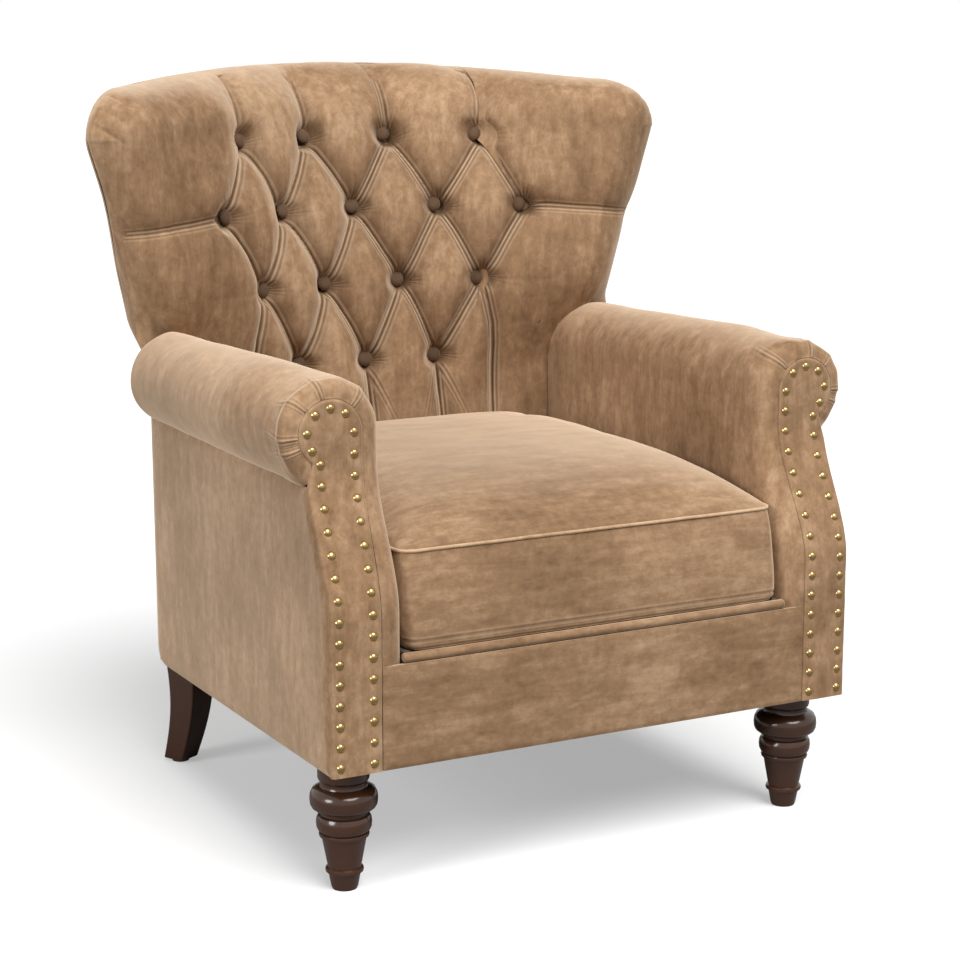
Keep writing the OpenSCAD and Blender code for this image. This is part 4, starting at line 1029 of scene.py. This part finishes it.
def cushion_welt():
    """Thin sewn welt round the cushion's top seam."""
    bpy.ops.mesh.primitive_torus_add(
        major_segments=620, minor_segments=10, major_radius=1, minor_radius=0.1
    )
    obj = named("seat_cushion_welt")
    p = get_points(obj)
    share = np.arctan2(p[:, 1], p[:, 0]) / (2 * math.pi)
    tube_x = (np.hypot(p[:, 0], p[:, 1]) - 1) / 0.1
    tube_z = p[:, 2] / 0.1
    y0, y1 = CUSHION_FRONT + CUSHION_LEAN, CUSHION_FRONT + CUSHION_D
    x, y, nx, ny = seam_path(share, CUSHION_HALF - 2.0, y0 + 2.0, y1 - 2.0, PLAN_R)
    wave = 0.3 * ripple(stacked(x, y, 0 * x), 33, 91)
    out = tube_x * WELT_R + 1.1
    q = stacked(x + nx * out, y + ny * out, SEAM_Z + 0.6 + wave + tube_z * WELT_R)
    set_points(obj, q * MM)
    return finished(obj, 80)


# Trim


BUTTON_R, BUTTON_DOME, BUTTON_REAR = 11.5, 6.2, 1.6


def covered_button():
    """One covered button at the origin, facing -Y."""
    bpy.ops.mesh.primitive_uv_sphere_add(segments=40, ring_count=20, radius=1)
    obj = bpy.context.active_object
    p = get_points(obj)
    r = np.hypot(p[:, 0], p[:, 2])
    angle = np.arctan2(p[:, 2], p[:, 0])
    front = -p[:, 1]
    y = np.where(front > 0, -front * BUTTON_DOME + 0.5 * bell(r, 0.25), -front * BUTTON_REAR)
    tuck = BUTTON_R * (1 - 0.02 * np.cos(11 * angle) * rise(0.5, 1, r))
    set_points(obj, stacked(p[:, 0] * tuck, y, p[:, 2] * tuck) * MM)
    smooth(obj, 80)
    return obj


# Shares of the pit's depth over which the buttons of each row, and the outermost two, stand out
BUTTON_LIFTS, OUTER_LIFT, PIT_DEPTH = [0.267, 0.257, 0.249, 0.252], 0.322, 31


def buttons():
    """All covered buttons of the inside back, each seated in its pit and turned with the cloth."""
    d = 12.0
    places = []
    for q, n in button_marks():
        x, z = button_place(q, n)
        lean = math.atan(float(crest(x, z + d) - crest(x, z - d)) / (2 * d))
        turn = math.atan(float(crest(x + d, z) - crest(x - d, z)) / (2 * d))
        lift = OUTER_LIFT if abs(q) == max(LAST_Q) else BUTTON_LIFTS[n]
        y = FRONT_Y + float(crest(x, z)) + PIT_DEPTH * (1 - lift)
        places.append(((x, y, z), (-lean, 0, turn)))
    return placed_copies(covered_button(), places, "covered_buttons")


def nails():
    """Domed nail heads of the right facing, each with a thin rolled rim."""
    bpy.ops.mesh.primitive_uv_sphere_add(segments=18, ring_count=10, radius=1)
    first = bpy.context.active_object
    first.rotation_euler = (math.pi / 2, 0, 0)
    freeze(first)
    p = get_points(first)
    front = np.maximum(0, -p[:, 1])
    k = np.where(p[:, 1] > -0.1, 1.0, 0.94)
    y = np.where(p[:, 1] < 0, -NAIL_H * front, 0.5 * p[:, 1])
    set_points(first, stacked(p[:, 0] * NAIL_D / 2 * k, y, p[:, 2] * NAIL_D / 2 * k) * MM)
    outward(first)
    smooth(first, 70)
    places = []
    for x, z in nail_places():
        lean = math.atan(float(sweep_y(z + 2) - sweep_y(z - 2)) / 4)
        places.append(((x, float(sweep_y(z)) + 0.3, z), (-lean, 0, 0)))
    return placed_copies(first, places, "right_nails")


# Legs

LEG_PROFILE = [
    (15.3, GLIDE_H), (16.6, 7.2), (20.0, 24.6), (20.4, 25.6), (23.2, 26.4), (23.8, 28.9), (23.2, 31.4),
    (20.6, 32.4), (20.8, 34.0), (24.2, 52.0), (27.6, 70.0), (28.2, 71.6), (30.6, 72.4), (31.2, 74.6),
    (30.6, 76.8), (28.6, 77.6), (28.8, 79.0), (32.0, 80.2), (33.8, 84.0), (34.4, 89.5), (33.8, 95.0),
    (32.0, 98.8), (29.0, 100.2), (28.8, 102.6), (31.6, 103.6), (32.2, 105.2), (35.5, 106.6), (39.4, 109.6),
    (41.4, 113.6), (42.0, 119.5), (41.4, 126.0), (38.8, 131.6), (34.0, 134.8), (29.8, 136.2), (28.6, 139.0),
    (28.8, 142.0), (31.0, 144.4), (31.9, 147.0), (31.9, LEG_TOP),
]


def front_leg():
    """Turned right front leg: a disc drawn up through every ring of its profile."""
    r, z = LEG_PROFILE[0]
    bpy.ops.mesh.primitive_circle_add(vertices=72, radius=r * MM, fill_type="NGON", location=(0, 0, z * MM))
    obj = named("right_front_leg_turned")
    bpy.ops.object.mode_set(mode="EDIT")
    bpy.ops.mesh.select_all(action="SELECT")
    for next_r, next_z in LEG_PROFILE[1:]:
        bpy.ops.mesh.extrude_region_move(TRANSFORM_OT_translate={"value": (0, 0, (next_z - z) * MM)})
        bpy.ops.transform.resize(value=(next_r / r, next_r / r, 1), center_override=(0, 0, 0))
        r, z = next_r, next_z
    bpy.ops.mesh.select_all(action="SELECT")
    bpy.ops.mesh.normals_make_consistent(inside=False)
    bpy.ops.object.mode_set(mode="OBJECT")
    obj.location = (FRONT_LEG[0] * MM, FRONT_LEG[1] * MM, 0)
    freeze(obj)
    smooth(obj, 32)
    return obj


def rear_leg():
    """Square rear leg: narrower at the foot, curved back and out, with eased edges."""
    bpy.ops.mesh.primitive_cube_add(size=1)
    obj = named("right_rear_leg_tapered")
    split_faces(obj, 4)
    p = get_points(obj)
    t = p[:, 2] + 0.5
    w = REAR_LEG_W + (REAR_LEG_TOP_W - REAR_LEG_W) * t
    c, s = math.cos(math.radians(REAR_LEG_TURN)), math.sin(math.radians(REAR_LEG_TURN))
    bow = REAR_LEG_BOW * np.sin(np.pi * t)
    middle_x, middle_y = (foot + (top - foot) * t - bow for foot, top in zip(REAR_LEG, REAR_LEG_TOP))
    x = middle_x + w * (p[:, 0] * c - p[:, 1] * s)
    y = middle_y + w * (p[:, 0] * s + p[:, 1] * c)
    set_points(obj, stacked(x, y, GLIDE_H + (LEG_TOP - GLIDE_H) * t) * MM)
    eased = obj.modifiers.new("eased", "BEVEL")
    eased.width = 2.2 * MM
    eased.segments = 3
    eased.angle_limit = math.radians(40)
    apply_modifiers(obj)
    return finished(obj, 40)


# Hidden soft parts


def from_node(frame, node, name, cuts, ease):
    """A finished copy of a frame piece: merged, with eased edges and enough faces to be soft."""
    obj = duplicate(frame["nodes"][node], name)
    freeze(obj)
    bpy.ops.object.mode_set(mode="EDIT")
    bpy.ops.mesh.select_all(action="SELECT")
    bpy.ops.mesh.remove_doubles(threshold=0.00002)
    bpy.ops.mesh.normals_make_consistent(inside=False)
    bpy.ops.mesh.dissolve_limited(angle_limit=math.radians(1))
    bpy.ops.object.mode_set(mode="OBJECT")
    if ease:
        edge = obj.modifiers.new("eased", "BEVEL")
        edge.width = ease * MM
        edge.segments = 3
    even = obj.modifiers.new("even", "TRIANGULATE")
    even.quad_method = "BEAUTY"
    apply_modifiers(obj)
    split_faces(obj, cuts)
    return finished(obj, 40)


# Materials

RIDGES = ((0.3, 1.5, 1.0), (-5.2, 1.4, 0.7), (5.8, 1.5, 0.4), (-10.0, 1.8, 0.35))
GROOVES = ((-2.6, 1.1, 1.0), (-7.6, 1.2, 0.5), (3.0, 1.2, 0.7))
TONES = (0.150, 0.083, 0.040), (0.295, 0.176, 0.096), (0.49, 0.325, 0.196)
# Tones of the buttons' velvet, far darker than the cover's: painted shade of the pits they sit in
BUTTON_SHADE_TONES = (0.085, 0.048, 0.027), (0.115, 0.068, 0.040), (0.15, 0.092, 0.056)
# Lightest tone of the welt's velvet: a painted highlight along the cushion's seam
# Share of the cover's tones for the seat velvet: painted shade that offsets the stronger light on the seat
WELT_HIGHLIGHT, SEAT_SHADE_SHARE = (0.62, 0.45, 0.30), 0.9
# Painted highlight tone of the fold ridges, painted sheen tone where the velvet turns away from the camera,
# and the tint of the shader's own sheen
RIDGE_HIGHLIGHT_TONE, RIM_SHEEN_TONE, SHEEN_TONE = (0.70, 0.50, 0.33), (0.82, 0.63, 0.46), (1.0, 0.84, 0.66, 1)
# Name, colour, roughness, metallic share and coat of the plain materials, by slot
PLAIN = {
    "dark_wood": ("dark_wood", (0.052, 0.019, 0.008), 0.19, 0.0, 0.05),
    "hardwood": ("hardwood", (0.55, 0.36, 0.2), 0.6),
    "spring_steel": ("steel", (0.5, 0.5, 0.52), 0.35, 1.0),
    "nail_brass": ("antique_brass", (0.38, 0.26, 0.11), 0.25, 1.0),
    "lining": ("lining", (0.08, 0.055, 0.035), 0.9),
    "black_cambric": ("black_cloth", (0.012, 0.012, 0.012), 0.95),
    "foam": ("foam", (0.8, 0.75, 0.6), 0.9),
    "glide_plastic": ("glide_plastic", (0.02, 0.018, 0.016), 0.5),
}


def feed(tree, node, inputs):
    """Gives sockets of a node, by name or number, another node's output or a plain value."""
    for name, value in inputs.items():
        if isinstance(value, bpy.types.NodeSocket):
            tree.links.new(value, node.inputs[name])
        else:
            node.inputs[name].default_value = value


def add_node(tree, kind, inputs=None):
    """A new shader node with its sockets fed."""
    node = tree.nodes.new("ShaderNode" + kind)
    feed(tree, node, inputs or {})
    return node


def new_material(name):
    """A material with one principled shader; gives the material, its tree and the shader."""
    m = bpy.data.materials.new(name)
    m.use_nodes = True
    tree = m.node_tree
    tree.nodes.clear()
    shader = add_node(tree, "BsdfPrincipled")
    add_node(tree, "OutputMaterial", {0: shader.outputs[0]})
    return m, tree, shader


def noise(tree, vector, scale, detail=4.0, rough=0.55, distortion=0.0):
    """The value of a noise texture."""
    inputs = {"Vector": vector, "Scale": scale, "Detail": detail}
    inputs.update({"Roughness": rough, "Distortion": distortion})
    return add_node(tree, "TexNoise", inputs).outputs["Fac"]


def combine(tree, operation, a, b=0, clamp=False):
    """The result of one maths node on two values."""
    m = add_node(tree, "Math", {0: a, 1: b})
    m.operation = operation
    m.use_clamp = clamp
    return m.outputs[0]


def remap(tree, value, a, b, c, d):
    """Carries a value from the span a to b over to the span c to d."""
    return add_node(tree, "MapRange", {0: value, 1: a, 2: b, 3: c, 4: d}).outputs[0]


def weighted(tree, terms):
    """The sum of values that are each multiplied by a share."""
    total = None
    for value, share in terms:
        term = combine(tree, "MULTIPLY", value, share)
        total = term if total is None else combine(tree, "ADD", total, term)
    return total


def humps(tree, value, places):
    """Smooth humps along a value, each with its place, width and height."""
    terms = []
    for place, width, height in places:
        t = combine(tree, "DIVIDE", combine(tree, "SUBTRACT", value, place), width)
        square = combine(tree, "MULTIPLY", t, t)
        terms.append((combine(tree, "EXPONENT", combine(tree, "MULTIPLY", square, -1.0)), height))
    return weighted(tree, terms)


def group_value(g, out, name, value):
    """Gives a node group one more output."""
    g.interface.new_socket(name, in_out="OUTPUT", socket_type="NodeSocketFloat")
    g.links.new(value, out.inputs[name])


def nap_group():
    """Velvet nap: clouds where the pile lies differently, brushed streaks and the fine pile."""
    g = bpy.data.node_groups.new("velvet_nap", "ShaderNodeTree")
    g.interface.new_socket("Streak Scale", in_out="INPUT", socket_type="NodeSocketVector")
    given = g.nodes.new("NodeGroupInput")
    out = g.nodes.new("NodeGroupOutput")
    coords = add_node(g, "TexCoord").outputs["Object"]
    clouds = noise(g, coords, 5.5, 3.0, 0.5, 0.4)
    patches = noise(g, coords, 75.0, 6.0, 0.7, 0.3)
    drawn = add_node(g, "VectorMath", {0: coords, 1: given.outputs["Streak Scale"]})
    drawn.operation = "MULTIPLY"
    streaks = noise(g, drawn.outputs[0], 1.0, 6.0, 0.7, 0.2)
    shade = weighted(g, [(clouds, 0.34), (patches, 0.28), (streaks, 0.38)])
    group_value(g, out, "Shade", remap(g, shade, 0.34, 0.66, 0.0, 1.0))
    group_value(g, out, "Pile", noise(g, coords, 1100.0, 2.0, 0.6))
    return g


def pleat_group():
    """Fine pleat lines and gathers, placed by values that the cover carries at its points: a bump height,
    and the shares of painted shade in grooves and hollows and of painted highlight on ridges and gathers.
    """
    g = bpy.data.node_groups.new("pleat_lines", "ShaderNodeTree")
    out = g.nodes.new("NodeGroupOutput")
    carried = []
    for name in ("pleat", "gather"):
        attribute = add_node(g, "Attribute")
        attribute.attribute_name = name
        carried += list(add_node(g, "SeparateXYZ", {0: attribute.outputs["Vector"]}).outputs)
    across, strength, hollow_shade, phase, amount, _ = carried
    ridge = humps(g, across, RIDGES)
    grooves = humps(g, across, GROOVES)
    wave = combine(g, "COSINE", combine(g, "MULTIPLY", phase, 2 * math.pi))
    wave = combine(g, "MULTIPLY", wave, amount)
    line = combine(g, "MULTIPLY", combine(g, "SUBTRACT", ridge, grooves), strength)
    # Share of painted highlight on the ridges and on the crests of the gathers
    lift = weighted(g, [(ridge, strength), (wave, 0.4)])
    group_value(g, out, "Height", combine(g, "ADD", line, combine(g, "MULTIPLY", wave, 0.45)))
    # Painted shade in the grooves, painted highlight on the ridges, painted shade in the hollows
    group_value(g, out, "Groove Shade", combine(g, "MULTIPLY", grooves, strength, True))
    group_value(g, out, "Ridge Highlight", combine(g, "MULTIPLY", lift, 1.0, True))
    group_value(g, out, "Hollow Shade", combine(g, "MULTIPLY", hollow_shade, 1.0, True))
    return g


def mixed(tree, factor, a, b):
    """One colour socket that goes from a to b; a colour is a socket or three numbers."""
    m = tree.nodes.new("ShaderNodeMix")
    m.data_type = "RGBA"
    a, b = ((*c, 1) if isinstance(c, tuple) else c for c in (a, b))
    feed(tree, m, {"Factor": factor, "A": a, "B": b})
    return m.outputs["Result"]


def velvet(name, groups, dark, mid, light, streak, sheen_share=0.9):
    """Velvet of three tones, with painted shade in its folds and hollows, a painted highlight on the ridges
    of its folds and a painted sheen where it turns away from the camera.
    """
    m, tree, shader = new_material(name)
    nap, pleats = add_node(tree, "Group"), add_node(tree, "Group")
    nap.node_tree, pleats.node_tree = groups
    nap.inputs["Streak Scale"].default_value = streak
    ramp = add_node(tree, "ValToRGB", {0: nap.outputs["Shade"]})
    ramp.color_ramp.elements[0].color = (*dark, 1)
    ramp.color_ramp.elements[1].color = (*light, 1)
    ramp.color_ramp.elements.new(0.5).color = (*mid, 1)
    color = ramp.outputs["Color"]
    # Painted shade in the hollows and grooves of the folds, and a painted highlight on their ridges and
    # gathers
    deep_shade_tone = tuple(c * f for c, f in zip(dark, (0.42, 0.36, 0.30)))
    for line, share, tone in (("Hollow Shade", 0.78, deep_shade_tone), ("Groove Shade", 0.6, deep_shade_tone), ("Ridge Highlight", 0.62, RIDGE_HIGHLIGHT_TONE)):
        color = mixed(tree, combine(tree, "MULTIPLY", pleats.outputs[line], share), color, tone)
    # Painted sheen: the colour goes lighter where the surface turns away from the camera
    turned = add_node(tree, "LayerWeight", {"Blend": 0.3})
    rim = remap(tree, turned.outputs["Facing"], 0.32, 1.0, 0.0, sheen_share)
    lines = add_node(tree, "Bump", {
        "Strength": 0.9, "Distance": 0.0014, "Height": pleats.outputs["Height"],
    })
    pile = add_node(tree, "Bump", {
        "Strength": 0.12, "Distance": 0.0008, "Height": nap.outputs["Pile"],
        "Normal": lines.outputs["Normal"],
    })
    feed(tree, shader, {
        "Base Color": mixed(tree, rim, color, RIM_SHEEN_TONE), "Roughness": 0.85, "Specular IOR Level": 0.15,
        "Sheen Weight": 0.38, "Sheen Roughness": 0.35, "Sheen Tint": SHEEN_TONE,
        "Normal": pile.outputs["Normal"],
    })
    return m


def plain(name, color, roughness, metallic=0.0, coat=0.0):
    """A material with a slow change of tone, so that no surface is dead flat."""
    m, tree, shader = new_material(name)
    tone = noise(tree, add_node(tree, "TexCoord").outputs["Object"], 40.0, 3.0)
    low, high = tuple(c * 0.85 for c in color), tuple(min(1, c * 1.12) for c in color)
    feed(tree, shader, {
        "Base Color": mixed(tree, tone, low, high), "Roughness": roughness, "Metallic": metallic,
        "Coat Weight": coat,
    })
    return m


def materials():
    """All materials by slot, and the velvet of the seat, dimmed as painted shade, and the velvet of the
    welt, lightened as a painted highlight.
    """
    groups = (nap_group(), pleat_group())
    by_slot = {slot: plain(*look) for slot, look in PLAIN.items()}
    by_slot["zip_metal"] = by_slot["nail_brass"]
    by_slot["velvet"] = velvet("velvet", groups, *TONES, (60, 60, 15))
    # The buttons wear the cover's velvet in darker tones and with less sheen: painted shade of their pits
    by_slot["button_velvet"] = velvet("velvet_button_shaded", groups, *BUTTON_SHADE_TONES, (30, 30, 30), 0.25)
    # The seat's velvet is dimmed: painted shade that offsets the stronger light on its top
    shaded_seat_tones = [tuple(SEAT_SHADE_SHARE * c for c in tone) for tone in TONES]
    seat = velvet("velvet_seat_shaded", groups, *shaded_seat_tones, (15, 60, 60))
    # The welt's velvet is lighter than the cover: a painted highlight along the seam
    welt = velvet("velvet_welt_highlit", groups, TONES[1], TONES[2], WELT_HIGHLIGHT, (60, 60, 60))
    return by_slot, seat, welt


# Studio

WHITE, FILL, FLOOR_WHITE, FLOOR_GREY = (1, 1, 1, 1), 0.2, 0.36, (0.3, 0.3, 0.3, 1)
CAMERA_AT, CAMERA_AIM, LENS = (-1.482995, -2.865186, 1.075115), (0.029, -0.042, 0.4196), 89.05


def sun_light(name, heading, height, strength, angle):
    """A far light; it comes from a heading (0 is +X, 90 is +Y) and a height, all in degrees."""
    data = bpy.data.lights.new(name, "SUN")
    data.energy = strength
    data.angle = math.radians(angle)
    o = bpy.data.objects.new(name, data)
    bpy.context.scene.collection.objects.link(o)
    a, e = math.radians(heading), math.radians(height)
    away = Vector((math.cos(a) * math.cos(e), math.sin(a) * math.cos(e), math.sin(e)))
    o.location = away * 5
    o.rotation_euler = (-away).to_track_quat("-Z", "Y").to_euler()


def white_world(scene):
    """Even fill light, seen as plain white by the camera and in reflections."""
    world = bpy.data.worlds.new("studio")
    scene.world = world
    world.use_nodes = True
    tree = world.node_tree
    tree.nodes.clear()
    fill = add_node(tree, "Background", {"Color": WHITE, "Strength": FILL})
    white = add_node(tree, "Background", {"Color": WHITE, "Strength": 1.0})
    rays = add_node(tree, "LightPath").outputs
    seen = combine(tree, "ADD", rays["Is Camera Ray"], rays["Is Glossy Ray"], True)
    seen = combine(tree, "ADD", seen, rays["Is Transmission Ray"], True)
    mix = add_node(tree, "MixShader", {0: seen, 1: fill.outputs[0], 2: white.outputs[0]})
    add_node(tree, "OutputWorld", {0: mix.outputs[0]})


def brighten_floor(tree, shader):
    """Mixes plain white into what the camera sees of the floor, and dims the light it throws back."""
    white = add_node(tree, "Emission")
    grey = add_node(tree, "BsdfDiffuse", {"Color": FLOOR_GREY})
    seen = add_node(tree, "MixShader", {0: FLOOR_WHITE, 1: shader.outputs[0], 2: white.outputs[0]})
    camera_ray = add_node(tree, "LightPath").outputs["Is Camera Ray"]
    mix = add_node(tree, "MixShader", {0: camera_ray, 1: grey.outputs[0], 2: seen.outputs[0]})
    out = next(n for n in tree.nodes if n.type == "OUTPUT_MATERIAL")
    tree.links.new(mix.outputs[0], out.inputs[0])


def studio():
    """The camera solved from the photo, a white floor and world, and two suns."""
    scene = bpy.context.scene
    cam = bpy.data.cameras.new("camera")
    cam.lens = LENS
    cam.sensor_width = 36.0
    o = bpy.data.objects.new("camera", cam)
    scene.collection.objects.link(o)
    o.location = CAMERA_AT
    o.rotation_euler = (Vector(CAMERA_AIM) - Vector(o.location)).to_track_quat("-Z", "Y").to_euler()
    scene.camera = o
    bpy.ops.mesh.primitive_plane_add(size=60, location=(0, 0, 0))
    floor = bpy.context.active_object
    floor.name = "floor"
    m, tree, shader = new_material("floor_paper")
    feed(tree, shader, {
        "Base Color": (0.96, 0.96, 0.96, 1), "Roughness": 1.0, "Specular IOR Level": 0.0,
    })
    brighten_floor(tree, shader)
    floor.data.materials.append(m)
    white_world(scene)
    sun_light("key", heading=276, height=56, strength=3.95, angle=44)
    sun_light("left", heading=191, height=20, strength=1.7, angle=24)
    scene.view_settings.view_transform = "Standard"


# The chair


def pair(right, left_name, material, node):
    """Dresses a right piece and makes its mirrored twin; both stand for the node of that side."""
    left = mirrored(right, left_name)
    dress(right, material, nodes=["right_" + node])
    dress(left, material, nodes=["left_" + node])


def hidden_soft_parts(frame, by_slot):
    """Soft pieces inside and under the seat, each in its frame piece's own form."""
    slots = {part["node"]: part["material_slot"] for part in frame["record"]["subparts"]}
    plan = [
        ("cushion_core", "foam_core", "cushion", 1, 0.0),
        ("zip_tape", "zip_cloth_tape", "cushion", 2, 0.0),
        ("deck_pad", "deck_padding", "chair", 4, 3.0),
        ("back_webbing", "back_straps", "chair", 1, 0.0),
        ("dust_cover", "dust_cloth", "chair", 2, 0.0),
    ]
    for node, name, body, cuts, ease in plan:
        slot = slots[node]
        piece = dress(from_node(frame, node, name, cuts, ease), by_slot[slot], body, [node])


def main():
    """The whole picture: materials, pieces and studio."""
    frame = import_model()
    by_slot, cloth_seat_shaded, cloth_welt_highlit = materials()
    cloth, cloth_button_shaded = by_slot["velvet"], by_slot["button_velvet"]
    walnut, brass = by_slot["dark_wood"], by_slot["nail_brass"]
    for part in frame["record"]["subparts"]:
        node = frame["nodes"][part["node"]]
        node.data.materials.clear()
        node.data.materials.append(by_slot[part["material_slot"]])

    dress(inside_back(), cloth, nodes=["inside_back_pad"])
    pair(wing(), "left_wing", cloth, "wing_pad")
    dress(outside_back(), cloth, nodes=["outside_back_panel"])
    pair(arm_cover(), "left_arm", cloth, "arm_pad")
    pair(facing(), "left_facing", cloth, "arm_facing")
    pair(outside_arm(), "left_outside_arm_cover", cloth, "outside_arm")
    dress(front_border(), cloth_seat_shaded, nodes=["front_border"])
    dress(deck_lip(), cloth_seat_shaded, nodes=["deck_lip"])
    dress(cushion(), cloth_seat_shaded, "cushion", nodes=["cushion_cover"])
    dress(cushion_welt(), cloth_welt_highlit, "cushion", nodes=["cushion_welt"])
    dress(buttons(), cloth_button_shaded, nodes=["tuft_buttons"])
    pair(nails(), "left_nails", brass, "nail_heads")
    pair(front_leg(), "left_front_leg_turned", walnut, "front_leg")
    pair(rear_leg(), "left_rear_leg_tapered", walnut, "rear_leg")
    hidden_soft_parts(frame, by_slot)

    studio()


main()
